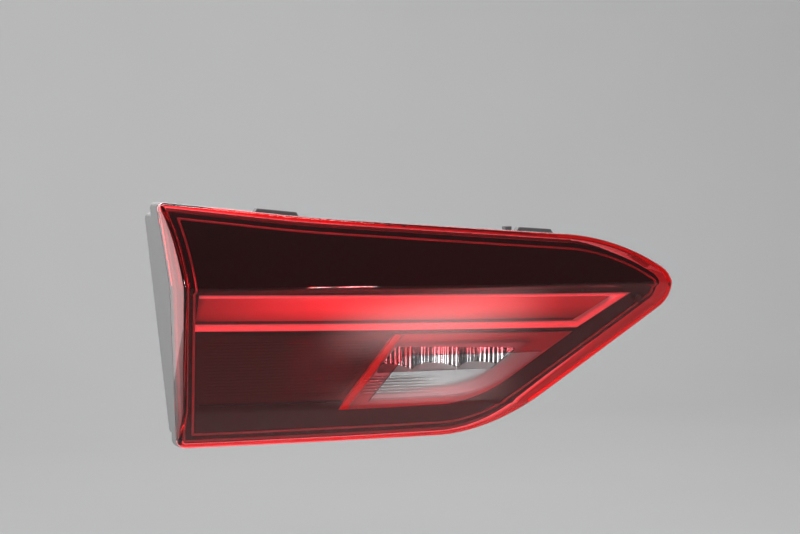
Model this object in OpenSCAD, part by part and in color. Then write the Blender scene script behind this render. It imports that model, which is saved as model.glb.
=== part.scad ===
// Tail lamp for a car's tailgate: a red two-colour lens on a grey housing. Behind the lens lie a light bar,
// a ribbed fog light and a clear reversing light in a gloss black bezel.
// X runs along the lamp towards its nose, Y from the lens into the car body, Z up. Millimetres and degrees.
// The origin is the seat of the main stud on the mounting plane. Depths are measured back from the lens crease.

/* [Lens outline] */
// Reach of the cut end from the main stud, at the crease
cut_reach = 127; // [122:0.5:132]
// Lean of the cut end from upright
cut_lean = 7.2; // [5:0.2:9]
// Height of the top edge above the crease, at the cut end
top_left_h = 51.5; // [48:0.5:54]
// Distance from the main stud to the slight bend in the top edge
top_bend_x = 45; // [30:1:60]
// Height of the top edge at its slight bend
top_bend_h = 42.3; // [41:0.1:43]
// Distance to the corner where the top edge turns down to the nose
brow_x = 168.5; // [160:0.5:175]
// Height of that corner
brow_h = 28.9; // [26:0.5:31]
// Distance to the corner of the nose, before it is rounded
nose_x = 224.5; // [218:0.5:230]
// Depth of the nose corner below the crease
nose_drop = 2; // [0:0.5:4]
// Distance to the corner where the slanted edge meets the bottom edge
belly_x = 90.6; // [84:0.5:96]
// Depth of that corner below the crease
belly_drop = 99; // [97:0.5:101]
// Depth of the bottom edge below the crease, at the cut end
bottom_left_drop = 102; // [100:0.5:104]
// Radius of the top left corner
top_left_r = 4; // [2:0.5:8]
// Radius of the slight bend in the top edge
top_bend_r = 900; // [500:50:1200]
// Radius of the brow
brow_r = 150; // [110:5:180]
// Radius of the nose
nose_r = 16; // [13:0.5:20]
// Radius of the belly
belly_r = 100; // [85:5:115]
// Radius of the bottom left corner
bottom_left_r = 6; // [4:0.5:9]

/* [Lens form] */
// Distance from the mounting plane to the lens crease, at the middle of the plan curve
lamp_depth = 84; // [82:0.5:90]
// Radius of the lens in plan
plan_r = 1600; // [1300:50:2400]
// Distance of the middle of the plan curve from the main stud
plan_mid_x = 20; // [0:5:40]
// Radius of the upper face in section
upper_face_r = 75; // [72:1:85]
// Lean of the upper face where it leaves the crease
upper_lean = 8; // [6:0.5:9]
// Lean of the lower face
lower_lean = 21; // [20:0.5:22]
// Rounding of the crease
crease_r = 5; // [3:0.5:8]
// Depth of the lower edge line below the crease, where the lens tucks under
tuck_drop = 77; // [75:1:82]
// Lean of the tucked face
tuck_lean = 38.5; // [36:0.5:40]
// Rounding of the lower edge line
tuck_r = 10; // [6:1:14]
// Depth of the seam with the housing behind the crease
seam_depth = 27; // [26:0.5:30]
// Rise of the seam's depth for each millimetre above the crease
seam_rise = 0.15; // [0.13:0.01:0.2]
// Rise of the seam's depth for each millimetre below the crease
seam_fall = 0.24; // [0.235:0.005:0.26]
// Wall of the lens
lens_wall = 3; // [2.4:0.1:3.2]

/* [Lens joint] */
// Length of the lens tongue behind the seam
tongue_l = 4; // [3:0.5:5]
// Thickness of the lens tongue
tongue_t = 2; // [1.5:0.1:2.2]
// Distance from the outline to the tongue
tongue_inset = 1.9; // [1.7:0.1:2.2]
// Gap all round the tongue in its groove, filled by the sealing bead
bead_gap = 0.4; // [0.3:0.05:0.6]
// Height of the bead between the lens and the housing rim
bead_h = 0.8; // [0.6:0.1:1]
// Distance from the outline to the outer edge of the bead
bead_inset = 0.8; // [0.5:0.1:1]

/* [Housing] */
// Wall of the housing
housing_wall = 2.5; // [2:0.1:3]
// Width of the housing rim that carries the lens
rim_w = 7.8; // [7.5:0.1:9]
// Depth of the housing rim
rim_d = 8; // [7.5:0.5:9]
// Distance from the mounting plane to the back face of the tub
back_y = 15.5; // [14:0.5:17]
// Distance from the mounting plane to the back of the full outline
step_y = 27.5; // [25:0.5:28]
// Distance that the tub narrows at its top and bottom
tub_narrow = 7; // [5:1:9]
// Distance that the tub narrows at its slanted and nose edges
tub_narrow_nose = 16; // [13:1:18]
// Height of the stiffening ribs on the back of the tub
rib_h = 4; // [3:0.5:5]
// Thickness of those ribs
rib_t = 2; // [1.5:0.1:2.5]
// Pitch of those ribs
rib_pitch = 24; // [20:1:32]

/* [Top lugs] */
// Middle of the left locating lug
left_lug_x = -51; // [-60:1:-45]
// Length of the left lug at its top
left_lug_l = 26; // [20:1:32]
// Height of the left lug over the top edge
left_lug_h = 2.5; // [2:0.1:4]
// Middle of the right locating lug
right_lug_x = 129.5; // [122:0.5:134]
// Length of the right lug at its top
right_lug_l = 23; // [18:1:28]
// Height of the right lug over the top edge
right_lug_h = 2.2; // [1.8:0.1:3]
// Length of the small stop beside the right lug
stop_l = 4.5; // [3:0.5:6]
// Gap between the stop and the right lug
stop_gap = 2.5; // [1.5:0.5:4]
// Thickness of the lugs along the lamp's depth
lug_t = 5; // [3:0.5:7]

/* [Bezel] */
// Thickness of the bezel
bezel_t = 2; // [1.6:0.1:2.2]
// Depth of the upper bezel face behind the lens face
bezel_upper_gap = 8; // [7.5:0.1:8.2]
// Depth of the lower bezel face behind the lens face
bezel_lower_gap = 11.5; // [11.4:0.1:12]
// Distance from the outline to the edge of the bezel
bezel_inset = 6; // [5.8:0.1:6.4]
// Thickness of the bezel skirt
skirt_t = 1.8; // [1.5:0.1:2]
// Distance from the outline to the raised line round the bezel
line_inset = 9; // [8.8:0.1:9.6]
// Width of the raised line
line_w = 1.3; // [1:0.1:1.6]
// Height of the raised line over the bezel face
line_h = 1; // [0.6:0.1:1.1]
// Drop of the bezel face outside the raised line
border_drop = 1; // [0.5:0.1:1.2]
// Drop of the bevel over the light bar below the crease
bevel_drop = 1.4; // [1:0.1:1.6]
// Height of that bevel
bevel_h = 2.6; // [2.2:0.1:2.8]
// Gap between the bezel openings and what fills them
opening_gap = 0.25; // [0.2:0.05:0.3]

/* [Light bar] */
// Drop of the light bar's top edge below the crease, at its left end
bar_drop = 4.4; // [4.2:0.1:5]
// Height of the light bar
bar_h = 22; // [21:0.5:22.5]
// Distance from the cut end to the light bar
bar_left_gap = 13.5; // [12.5:0.5:16]
// Distance from the nose corner to the bar's tip
bar_nose_gap = 38.5; // [36:0.5:42]
// Fall of the bar towards the nose
bar_fall = 0.55; // [0.4:0.05:0.65]
// Slant of the bar's end
bar_end_slant = 28.5; // [26:0.5:32]
// Depth of the light guide's face behind the crease
guide_depth = 16; // [15.7:0.1:16.5]
// Depth of the light guide from front to back
guide_d = 10; // [8:0.5:11]
// Height of the guide's top line
guide_top_t = 2; // [1.6:0.1:2.4]
// Height of the guide's bottom line
guide_bottom_t = 4; // [3:0.2:4.6]
// Thickness of the guide's slanted end
guide_end_t = 3; // [2.4:0.2:3.6]
// Dark gap between the guide and the diffuser, at the bottom and the end
diffuser_gap = 2; // [1.5:0.1:2.5]
// Clearance between the guide and the diffuser at the top
diffuser_clear = 0.2; // [0.15:0.05:0.3]
// Distance that the diffuser sits back from the guide's face
diffuser_back = 3; // [2:0.5:4]
// Thickness of the diffuser
diffuser_t = 2.5; // [2:0.1:3]
// Wall of the light trough
trough_wall = 1.6; // [1.4:0.1:1.8]
// Distance from the mounting plane to the back of the light trough
trough_y = 32; // [31:0.5:33]
// Diameter of the trough's legs
leg_d = 8; // [7:0.5:9]
// Thickness of the circuit boards
board_t = 1.6; // [1.2:0.2:2]
// Number of light sources in the bar
bar_led_n = 14; // [10:1:18]
// Length of a light source
led_l = 3.5; // [3:0.1:4]
// Width of a light source
led_w = 2.8; // [2.4:0.1:3]
// Height of a light source
led_h = 1; // [0.8:0.1:1.2]

/* [Fog light] */
// Gap between the light bar and the lights below it
row_gap = 3.2; // [2.8:0.1:3.6]
// Distance from the cut end to the fog lens
fog_left_gap = 13; // [12:0.5:16]
// Drop of the fog lens's bottom edge below the crease
fog_drop = 74; // [72:0.5:75]
// Distance from the main stud to the divider between fog and reversing light, at the crease
divider_x = 36.6; // [35:0.2:38]
// Lean of the divider from upright
divider_lean = 32; // [31:0.5:33]
// Depth of the fog lens behind the lower bezel face
fog_back = 2; // [1.5:0.5:3]
// Thickness of the fog lens under its ribs
fog_t = 2.4; // [2:0.1:3]
// Pitch of the ribs on the fog lens
fog_rib_pitch = 2; // [1.8:0.1:2.4]
// Height of the ribs on the fog lens
fog_rib_h = 0.6; // [0.4:0.1:0.8]
// Width of the smooth border round the fog lens's ribs
fog_border = 4; // [3:0.5:5]
// Focal length of the fog reflector
fog_focus = 30; // [28:1:36]
// Wall of the reflectors
mirror_wall = 1.8; // [1.5:0.1:2]
// Distance of the fog bulb to the left of the main stud
bulb_x = 52; // [46:1:56]
// Drop of the fog bulb below the crease
bulb_drop = 51; // [49:0.5:53]
// Diameter of the bulb's glass
bulb_d = 25; // [24:0.5:26]
// Diameter of the bulb's cap
cap_d = 15; // [14:0.5:16]
// Length of the bulb's glass
glass_l = 25; // [24:0.5:26]
// Clearance round the bulb and the holder in their holes
bulb_clear = 1; // [0.6:0.1:1.4]

/* [Reversing light] */
// Distance from the slanted edge to the clear window and its bezel
window_inset = 27; // [25:0.5:29]
// Distance from the slanted edge to the reversing bezel
reverse_inset = 22; // [20:0.5:24]
// Drop of the clear window's top edge below the crease
window_drop = 44.2; // [42:0.2:46]
// Distance from the main stud to the window's slanted end, at the crease
window_x = 52; // [51:0.2:53]
// Lean of the window's slanted end from upright
window_lean = 33.7; // [33:0.1:34.5]
// Width of the raised band along the divider
band_w = 4.2; // [3.5:0.1:5]
// Height of the raised band
band_h = 1.5; // [1:0.1:1.8]
// Drop of the reflector opening's top edge below the crease
mirror_drop = 38.8; // [38:0.2:40]
// Height of the reflector opening
mirror_h = 17; // [15:0.5:18]
// Distance from the main stud to the first reflector cell
mirror_x = 8; // [7:0.5:9]
// Width of a reflector cell
cell_w = 32.5; // [31:0.1:32.6]
// Number of reflector cells
cell_n = 3; // [2:1:3]
// Depth of the curve of a reflector cell
cell_sag = 9; // [7:0.5:10]
// Number of flutes in a reflector cell
flute_n = 12; // [8:1:16]
// Depth of a flute
flute_d = 0.5; // [0.3:0.1:0.7]
// Distance from the mounting plane to the back of the reversing reflector
mirror_y = 27; // [26:0.5:28]
// Rise of the reflector's floor towards the back
floor_rise = 24; // [20:1:26]

/* [Back of the lamp] */
// Diameter of the mounting studs
stud_d = 6; // [5:1:8]
// Length of the studs behind the mounting plane
stud_l = 18; // [16:1:22]
// Depth of the studs in their bosses
stud_in = 12; // [10:1:13]
// Diameter of the stud flanges
flange_d = 14; // [12:1:16]
// Thickness of the stud flanges
flange_t = 2; // [1.5:0.5:2.5]
// Diameter of the stud bosses
boss_d = 17; // [15:1:18]
// Distance from the main stud to the tip stud
tip_stud_x = 150; // [140:1:155]
// Drop of the tip stud below the main stud
tip_stud_drop = 8; // [5:1:11]
// Distance from the main stud to the lower stud
lower_stud_x = 102; // [101.5:0.5:106]
// Drop of the lower stud below the main stud
lower_stud_drop = 72; // [66:1:76]
// Left edge of the gasket frame, from the main stud
frame_left = 88; // [87:0.5:90]
// Right edge of the gasket frame, from the main stud
frame_right = 72; // [68:1:76]
// Top edge of the gasket frame below the main stud
frame_top = 21; // [20:0.5:23]
// Bottom edge of the gasket frame below the main stud
frame_bottom = 86; // [84:0.5:88]
// Width of the gasket and the frame that carries it
gasket_w = 7; // [6:0.5:8]
// Thickness of the gasket
gasket_t = 6; // [5:0.5:7]
// Corner radius of the gasket
gasket_r = 12; // [9:1:16]
// Distance from the main stud to the driver's middle
driver_x = 22; // [19:1:25]
// Drop of the driver's middle below the main stud
driver_drop = 53.5; // [53:0.1:54]
// Length of the driver's cover
driver_l = 58; // [54:1:62]
// Height of the driver's cover
driver_h = 36; // [34:0.5:37]
// Depth of the driver's cover behind its seal
driver_d = 17; // [15:1:20]
// Width of the driver cover's flange
driver_flange = 6; // [5.5:0.1:6.2]
// Wall of the driver's cover
cover_wall = 2; // [1.6:0.1:2.4]
// Thickness of the flat seals
seal_t = 1; // [0.8:0.1:1.4]
// Length of the connector socket
socket_l = 28; // [26:1:30]
// Height of the connector socket
socket_h = 15; // [13:0.5:15]
// Depth of the connector socket
socket_d = 12; // [10:0.5:14]
// Number of connector pins
pin_n = 5; // [3:1:6]
// Pitch of the connector pins
pin_pitch = 4; // [3.6:0.1:4.4]
// Side of a connector pin
pin_s = 1; // [0.8:0.1:1.2]
// Diameter of the small screws
screw_d = 3; // [2.5:0.5:3.5]
// Diameter of the small screws' heads
screw_head_d = 5.4; // [5:0.1:5.8]
// Height of the small screws' heads
screw_head_h = 2.4; // [2:0.2:3]
// Diameter of the vent cap
vent_d = 16; // [14:1:18]
// Height of the vent cap
vent_h = 6; // [5:0.5:7]

/* [Hidden] */
$fn = 64;

// Largest turn of one segment of a rounded corner
arc_step = 5;
// Segments in a full turn of the large revolved faces
plan_fn = 360;
// Angle that the revolved faces cover
plan_sweep = 24;
// How far cutting shapes run past what they cut
past = 1;
// Planes that lie ahead of the lens, behind the lamp, above it and below it
ahead_y = -lamp_depth - 10;
low_z = -bottom_left_drop - 18;
far_x = nose_x + 20;
// Smallest radius of an inset corner
least_r = 1;

function flat(v) = [v[0], v[1]];
function unit(v) = v / norm(v);
function turned(v, a) = [v[0] * cos(a) - v[1] * sin(a), v[0] * sin(a) + v[1] * cos(a)];
function cross_of(u, v) = u[0] * v[1] - u[1] * v[0];

// Points of one corner [x, z, radius] between its neighbours
function corner_arc(p, q, s) =
    let (u = unit(flat(q) - flat(p)), v = unit(flat(s) - flat(q)))
    let (turn = atan2(cross_of(u, v), u * v), r = q[2])
    r == 0 || turn == 0 ? [flat(q)] :
    let (side = turn > 0 ? 1 : -1, start = flat(q) - r * tan(abs(turn) / 2) * u)
    let (middle = start + side * r * [-u[1], u[0]], n = max(1, ceil(abs(turn) / arc_step)))
    [for (i = [0 : n]) middle + turned(start - middle, turn * i / n)];

// Points of a closed outline, counterclockwise, and of an open line
function rounded(c) =
    let (n = len(c))
    [for (i = [0 : n - 1]) each corner_arc(c[(i + n - 1) % n], c[i], c[(i + 1) % n])];
function rounded_line(c) =
    let (n = len(c))
    [flat(c[0]), for (i = [1 : n - 2]) each corner_arc(c[i - 1], c[i], c[i + 1]), flat(c[n - 1])];

// Corners moved inwards by d, one distance or one for each edge that starts at a corner
function inset(c, d) =
    let (n = len(c))
    [for (i = [0 : n - 1])
        let (u = unit(flat(c[i]) - flat(c[(i + n - 1) % n])), v = unit(flat(c[(i + 1) % n]) - flat(c[i])))
        let (before = is_list(d) ? d[(i + n - 1) % n] : d, after = is_list(d) ? d[i] : d)
        let (turn = cross_of(u, v), r = c[i][2])
        [c[i][0] + (before * v[0] - after * u[0]) / turn,
            c[i][1] + (before * v[1] - after * u[1]) / turn,
            r == 0 ? 0 : turn > 0 ? max(r - min(before, after), least_r) : r + max(before, after)]];

// Length that the rounding of corner i takes of its edges
function reach(c, i) =
    let (n = len(c), u = unit(flat(c[i]) - flat(c[(i + n - 1) % n])), v = unit(flat(c[(i + 1) % n]) - flat(c[i])))
    c[i][2] * tan(abs(atan2(cross_of(u, v), u * v)) / 2);
// Share of its roundings that the edge from corner i to its next one has room for
function room(c, i) =
    let (j = (i + 1) % len(c), taken = reach(c, i) + reach(c, j))
    taken == 0 ? 1 : min(1, norm(flat(c[j]) - flat(c[i])) / taken);
// Corners whose roundings share the edges between them
function shared(c) =
    let (n = len(c))
    [for (i = [0 : n - 1]) [c[i][0], c[i][1], c[i][2] * min(room(c, (i + n - 1) % n), room(c, i))]];

// Meeting point of two lines, each a point and a direction
function meet(l, m) = l[0] + l[1] * cross_of(m[0] - l[0], m[1]) / cross_of(l[1], m[1]);
function direction(a) = [cos(a), sin(a)];

// Depth added by the plan curve at x
function sag(x) = plan_r - sqrt(plan_r * plan_r - (x - plan_mid_x) * (x - plan_mid_x));
function y_at(x, depth) = -lamp_depth + sag(x) + depth;

// Solids of one outline along Y, and of a band inside it
module slab(c, y0, y1) {
    translate([0, y1, 0]) rotate([90, 0, 0]) linear_extrude(height = y1 - y0) polygon(rounded(c));
}
module ring(c, a, b, y0, y1) {
    difference() {
        slab(inset(c, a), y0, y1);
        slab(inset(c, b), y0 - past, y1 + past);
    }
}
// A round solid along Y from y0 to y1
module rod(x, z, r, y0, y1) {
    translate([x, y1, z]) rotate([90, 0, 0]) cylinder(r = r, h = y1 - y0);
}
// A block centred on x and z
module block(x, z, l, h, y0, y1) {
    translate([x - l / 2, y0, z - h / 2]) cube([l, y1 - y0, h]);
}
// A solid revolved about an axis along Y, from points [radius, y]
module turned_y(x, z, points) {
    translate([x, 0, z]) rotate([-90, 0, 0]) rotate_extrude() polygon(points);
}

// Depth curves are lists of [z, depth]. What lies behind one, swept round the plan curve
module swept(points) {
    translate([plan_mid_x, plan_r - lamp_depth, 0])
        rotate_extrude(angle = plan_sweep, start = 270 - plan_sweep / 2, $fn = plan_fn) polygon(points);
}
module behind(curve, depth) {
    deepest = plan_r - lamp_depth - past;
    swept([[deepest, curve[0][0]], for (p = curve) [plan_r - p[1] - depth, p[0]],
        [deepest, curve[len(curve) - 1][0]]]);
}
module before(curve, depth) {
    nearest = plan_r + lamp_depth;
    swept([[nearest, curve[0][0]], for (p = curve) [plan_r - p[1] - depth, p[0]],
        [nearest, curve[len(curve) - 1][0]]]);
}

// Lens outline, counterclockwise from the bottom left corner
cut_run = tan(cut_lean);
lens_corners = shared([
    [-cut_reach + bottom_left_drop * cut_run, -bottom_left_drop, bottom_left_r],
    [belly_x, -belly_drop, belly_r],
    [nose_x, -nose_drop, nose_r],
    [brow_x, brow_h, brow_r],
    [-top_bend_x, top_bend_h, top_bend_r],
    [-cut_reach - top_left_h * cut_run, top_left_h, top_left_r]]);
// Height of the top edge at x
function edge_z(x) =
    let (p = x > -top_bend_x ? lens_corners[3] : lens_corners[5], q = lens_corners[4])
    q[1] + (p[1] - q[1]) * (x - q[0]) / (p[0] - q[0]);

// Section of the lens face
upper_step = 4;
upper_sweep = 64;
function upper_point(a) = [upper_face_r * (sin(upper_lean + a) - sin(upper_lean)),
    upper_face_r * (cos(upper_lean) - cos(upper_lean + a))];
function lower_depth(drop) = drop * tan(lower_lean);
face_curve = rounded_line([
    [low_z, lower_depth(tuck_drop) + (-low_z - tuck_drop) * tan(tuck_lean), 0],
    [-tuck_drop, lower_depth(tuck_drop), tuck_r],
    [0, 0, crease_r],
    for (a = [upper_step : upper_step : upper_sweep]) [upper_point(a)[0], upper_point(a)[1], 0]]);
high_z = upper_point(upper_sweep)[0];
seam_curve = [
    [low_z, seam_depth - low_z * seam_fall],
    [0, seam_depth],
    [high_z, seam_depth + high_z * seam_rise]];
// A face of one depth
plain_curve = [[low_z, 0], [high_z, 0]];

// Section of the bezel face: the lower face, the recess for the bar, the bevel over it and the upper face
bevel_foot = bevel_drop + bevel_h;
bevel_back = 5;
recess_foot = bar_drop + bar_h + 2;
bezel_curve = [
    [low_z, lower_depth(-low_z) + bezel_lower_gap],
    [-recess_foot, lower_depth(recess_foot) + bezel_lower_gap],
    [-bevel_foot, bezel_upper_gap + bevel_back],
    [-bevel_drop, bezel_upper_gap],
    for (a = [0 : upper_step : upper_sweep]) [upper_point(a)[0], upper_point(a)[1] + bezel_upper_gap]];

// Light bar
bar_x = -cut_reach + bar_left_gap;
bar_l = nose_x - bar_nose_gap - bar_x;
function on_bar(p) = concat([bar_x, -bar_drop] + turned(p, -bar_fall), 0);
bar_corners = [
    on_bar([0, -bar_h]),
    on_bar([bar_l - bar_h / tan(bar_end_slant), -bar_h]),
    on_bar([bar_l, 0]),
    on_bar([0, 0])];
guide_hole = inset(bar_corners, [guide_bottom_t, guide_end_t, guide_top_t, -past]);
diffuser_corners = inset(bar_corners, [guide_bottom_t + diffuser_gap, guide_end_t + diffuser_gap,
    guide_top_t + diffuser_clear, 0]);
diffuser_depth = guide_depth + diffuser_back;
bar_middle = (guide_top_t + diffuser_clear + bar_h - guide_bottom_t - diffuser_gap) / 2;
leg_places = [25, 135, 240];
led_margin = 14;
trough_floor = -trough_y - trough_wall;

// Fog light and reversing light, under the bar
row_line = [[bar_x, -bar_drop - bar_h - row_gap], direction(-bar_fall)];
divider_line = [[divider_x, 0], direction(-90 - divider_lean)];
fog_left_line = [[-cut_reach + fog_left_gap, 0], direction(-90 + cut_lean)];
fog_foot_line = [[0, -fog_drop], direction(0)];
corner_r = 1.5;
function soft(p) = concat(p, corner_r);
fog_corners = inset([
    soft(meet(fog_left_line, fog_foot_line)),
    soft(meet(divider_line, fog_foot_line)),
    soft(meet(divider_line, row_line)),
    soft(meet(fog_left_line, row_line))], [0, opening_gap, 0, 0]);
fog_depth = fog_back + fog_t;
mirror_gap = 0.6;
// The area right of the divider and under the bar, moved in by d from the divider and the bar
function right_of_divider(d, top) = inset([
    concat(meet(divider_line, [[0, low_z], direction(0)]), 0),
    [far_x, low_z, 0],
    concat(meet([[far_x, 0], direction(90)], row_line), 0),
    concat(meet(divider_line, row_line), 0)], [0, 0, top, d]);
module reverse_area(grow) {
    intersection() {
        slab(inset(lens_corners, reverse_inset - grow), ahead_y, 0);
        slab(right_of_divider(-grow, -grow), ahead_y - past, past);
    }
}
module window_area() {
    window_line = [[window_x, 0], direction(-90 - window_lean)];
    intersection() {
        slab(inset(lens_corners, window_inset), ahead_y, 0);
        slab([
            concat(meet(window_line, [[0, low_z], direction(0)]), 0),
            [far_x, low_z, 0],
            [far_x, -window_drop, 0],
            concat(meet(window_line, [[0, -window_drop], direction(0)]), 0)], ahead_y - past, past);
    }
}

// A depth curve with small ribs between two heights
function ribbed(depth, rib, pitch, z0, z1) =
    let (n = floor((z1 - z0) / pitch))
    [[low_z, lower_depth(-low_z) + depth],
        for (i = [0 : n - 1]) each [
            [z0 + i * pitch, lower_depth(-z0 - i * pitch) + depth],
            [z0 + (i + 0.5) * pitch, lower_depth(-z0 - (i + 0.5) * pitch) + depth - rib]],
        [z0 + n * pitch, lower_depth(-z0 - n * pitch) + depth],
        [0, depth]];

// Housing
wall_inset = 0.5;
tub_corners = inset(lens_corners, [tub_narrow, tub_narrow_nose, tub_narrow_nose, tub_narrow, tub_narrow,
    wall_inset]);
// Wall of the tub at each edge, a little thicker at the cut end
tub_wall = [housing_wall, housing_wall, housing_wall, housing_wall, housing_wall, housing_wall + 0.6];
inner_y = -back_y - housing_wall;
stud_places = [[0, 0], [tip_stud_x, -tip_stud_drop], [-lower_stud_x, -lower_stud_drop]];
vent_place = [-95, 18];
bulb_r = bulb_d / 2;
hole_r = bulb_r + bulb_clear;
collar_w = 5;
collar_r = hole_r + collar_w;
collar_h = 3;
// The gasket frame has a thin web, whose top runs clear of the bulb's collar
frame_web_t = 2.5;
frame_flange_t = 2;
frame_clear = 0.5;
frame_up = min(frame_top, bulb_drop - collar_r - (gasket_w + frame_web_t) / 2 - frame_clear);
frame_corners = [
    [-frame_left, -frame_bottom, gasket_r],
    [frame_right, -frame_bottom, gasket_r],
    [frame_right, -frame_up, gasket_r],
    [-frame_left, -frame_up, gasket_r]];
vent_hole_r = 2.2;
vent_spigot_r = 4;
// Screw at the bar's tip that holds the bezel, and the pad under its head
tip_screw_x = nose_x - bar_nose_gap + 3.5;
tip_screw_z = -bar_drop - 6.6;
tip_pad_depth = 13.4;
tip_pad_t = 6;
tip_head_h = 1.6;
tip_screw_l = 14;
// Screw posts, with the depth of their screws in them
post_r = 3.6;
pilot_r = 1.25;
screw_in = 6.5;
screw_tip_gap = 0.5;
post_in = 5;
cover_screw_places = [for (sx = [-1, 1], sz = [-1, 1])
    [driver_x + sx * (driver_l + driver_flange) / 2, -driver_drop + sz * (driver_h + driver_flange) / 2]];
cover_y = -back_y + seal_t;
cover_back = cover_y + driver_d;
cover_flange_t = 2.5;
flange_back = cover_y + cover_flange_t;
board_stand = 6;
board_y = -back_y + board_stand;
board_margin = 4;
board_l = driver_l - 2 * board_margin;
board_h = driver_h - 2 * board_margin;
board_post_in = 4;
board_post_r = 2.5;

module outer_lens() color("firebrick") difference() {
    lens_shell();
    window_area();
}
module clear_window() color("gainsboro") intersection() {
    lens_shell();
    window_area();
}
module lens_shell() {
    difference() {
        intersection() {
            slab(lens_corners, ahead_y, 0);
            behind(face_curve, 0);
            before(seam_curve, 0);
        }
        intersection() {
            slab(inset(lens_corners, lens_wall), ahead_y, 0);
            behind(face_curve, lens_wall);
        }
    }
    tongue(-0.5);
}
module tongue(start) intersection() {
    ring(lens_corners, tongue_inset, tongue_inset + tongue_t, ahead_y, 0);
    behind(seam_curve, start);
    before(seam_curve, tongue_l);
}
module groove(front) intersection() {
    ring(lens_corners, tongue_inset - bead_gap, tongue_inset + tongue_t + bead_gap, ahead_y, 0);
    behind(seam_curve, front);
    before(seam_curve, tongue_l + bead_gap);
}
module lens_seal() color("dimgray") difference() {
    union() {
        intersection() {
            ring(lens_corners, bead_inset, tongue_inset + tongue_t + bead_gap, ahead_y, 0);
            behind(seam_curve, 0);
            before(seam_curve, bead_h);
        }
        groove(bead_h - 0.1);
    }
    tongue(-0.5);
}

module housing() color("darkgray") difference() {
    union() {
        intersection() {
            ring(lens_corners, 0, rim_w, ahead_y, 0);
            behind(seam_curve, bead_h);
            before(seam_curve, rim_d);
        }
        intersection() {
            ring(lens_corners, wall_inset, wall_inset + housing_wall, ahead_y, -step_y);
            behind(seam_curve, bead_h + past);
        }
        intersection() {
            difference() {
                slab(inset(lens_corners, wall_inset), -step_y - housing_wall, -step_y);
                slab(inset(tub_corners, tub_wall), ahead_y, 0);
            }
            behind(seam_curve, bead_h + past);
        }
        intersection() {
            ring(tub_corners, 0, tub_wall, -step_y - housing_wall, -back_y);
            behind(seam_curve, bead_h + past);
        }
        slab(tub_corners, inner_y, -back_y);
        top_lugs();
        back_ribs();
        gasket_frame();
        for (p = stud_places) rod(p[0], p[1], boss_d / 2, inner_y, -flange_t);
        for (p = cover_screw_places) rod(p[0], p[1], post_r, inner_y - post_in, -back_y);
        for (sx = [-1, 1], sz = [-1, 1])
            rod(driver_x + sx * (board_l / 2 - board_post_in), -driver_drop + sz * (board_h / 2 - board_post_in),
                board_post_r, inner_y, board_y);
        rod(-bulb_x, -bulb_drop, collar_r, inner_y, -back_y + collar_h);
        rod(vent_place[0], vent_place[1], vent_spigot_r, inner_y, -back_y + vent_h / 2);
        rod(tip_screw_x, tip_screw_z, post_r, y_at(tip_screw_x, tip_pad_depth) + tip_pad_t,
            -step_y - housing_wall / 2);
    }
    groove(bead_h - past);
    for (p = stud_places) rod(p[0], p[1], stud_d / 2, -stud_in, 0);
    for (p = cover_screw_places) rod(p[0], p[1], pilot_r, -back_y - screw_in, 0);
    for (s = leg_places) {
        p = on_bar([s, -bar_middle]);
        rod(p[0], p[1], screw_d / 2, inner_y - past, 0);
    }
    rod(-bulb_x, -bulb_drop, hole_r, inner_y - past, 0);
    rod(vent_place[0], vent_place[1], vent_hole_r, inner_y - past, 0);
    rod(tip_screw_x, tip_screw_z, pilot_r, y_at(tip_screw_x, tip_pad_depth), -step_y - housing_wall);
}
// Lugs on the top wall that locate the lamp in the body, with a small stop
module top_lugs() {
    sink = 2;
    slope = 3;
    function top(x, l, h) = [
        [x - l / 2 - slope, edge_z(x - l / 2 - slope) - sink, 0],
        [x + l / 2 + slope, edge_z(x + l / 2 + slope) - sink, 0],
        [x + l / 2, edge_z(x + l / 2) + h, 0],
        [x - l / 2, edge_z(x - l / 2) + h, 0]];
    slab(top(left_lug_x, left_lug_l, left_lug_h), -step_y - lug_t, -step_y);
    slab(top(right_lug_x, right_lug_l, right_lug_h), -step_y - lug_t, -step_y);
    stop_x = right_lug_x - right_lug_l / 2 - slope - stop_gap - stop_l / 2;
    block(stop_x, edge_z(stop_x) + right_lug_h / 2 - sink, stop_l, right_lug_h + 2 * sink, -step_y - lug_t,
        -step_y);
}
// Crossed stiffening ribs on the back wall, outside the gasket frame and clear of what is fixed there
module back_ribs() {
    clear_r = 7;
    vent_margin = 2;
    difference() {
        intersection() {
            slab(inset(tub_corners, housing_wall), inner_y, -back_y + rib_h);
            union() {
                for (x = [-cut_reach : rib_pitch : nose_x]) block(x, 0, rib_t, 4 * lamp_depth, inner_y, 0);
                for (z = [-2 * rib_pitch : rib_pitch : 2 * rib_pitch]) block(0, z, 2 * far_x, rib_t, inner_y, 0);
            }
        }
        slab(frame_corners, -back_y, 0);
        for (s = leg_places) {
            p = on_bar([s, -bar_middle]);
            rod(p[0], p[1], clear_r, -back_y, 0);
        }
        rod(vent_place[0], vent_place[1], vent_d / 2 + vent_margin, -back_y, 0);
    }
}
// T-shaped frame that carries the gasket
module gasket_frame() {
    side = (gasket_w - frame_web_t) / 2;
    ring(frame_corners, side, side + frame_web_t, inner_y, -gasket_t);
    ring(frame_corners, 0, gasket_w, -gasket_t - frame_flange_t, -gasket_t);
}

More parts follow.
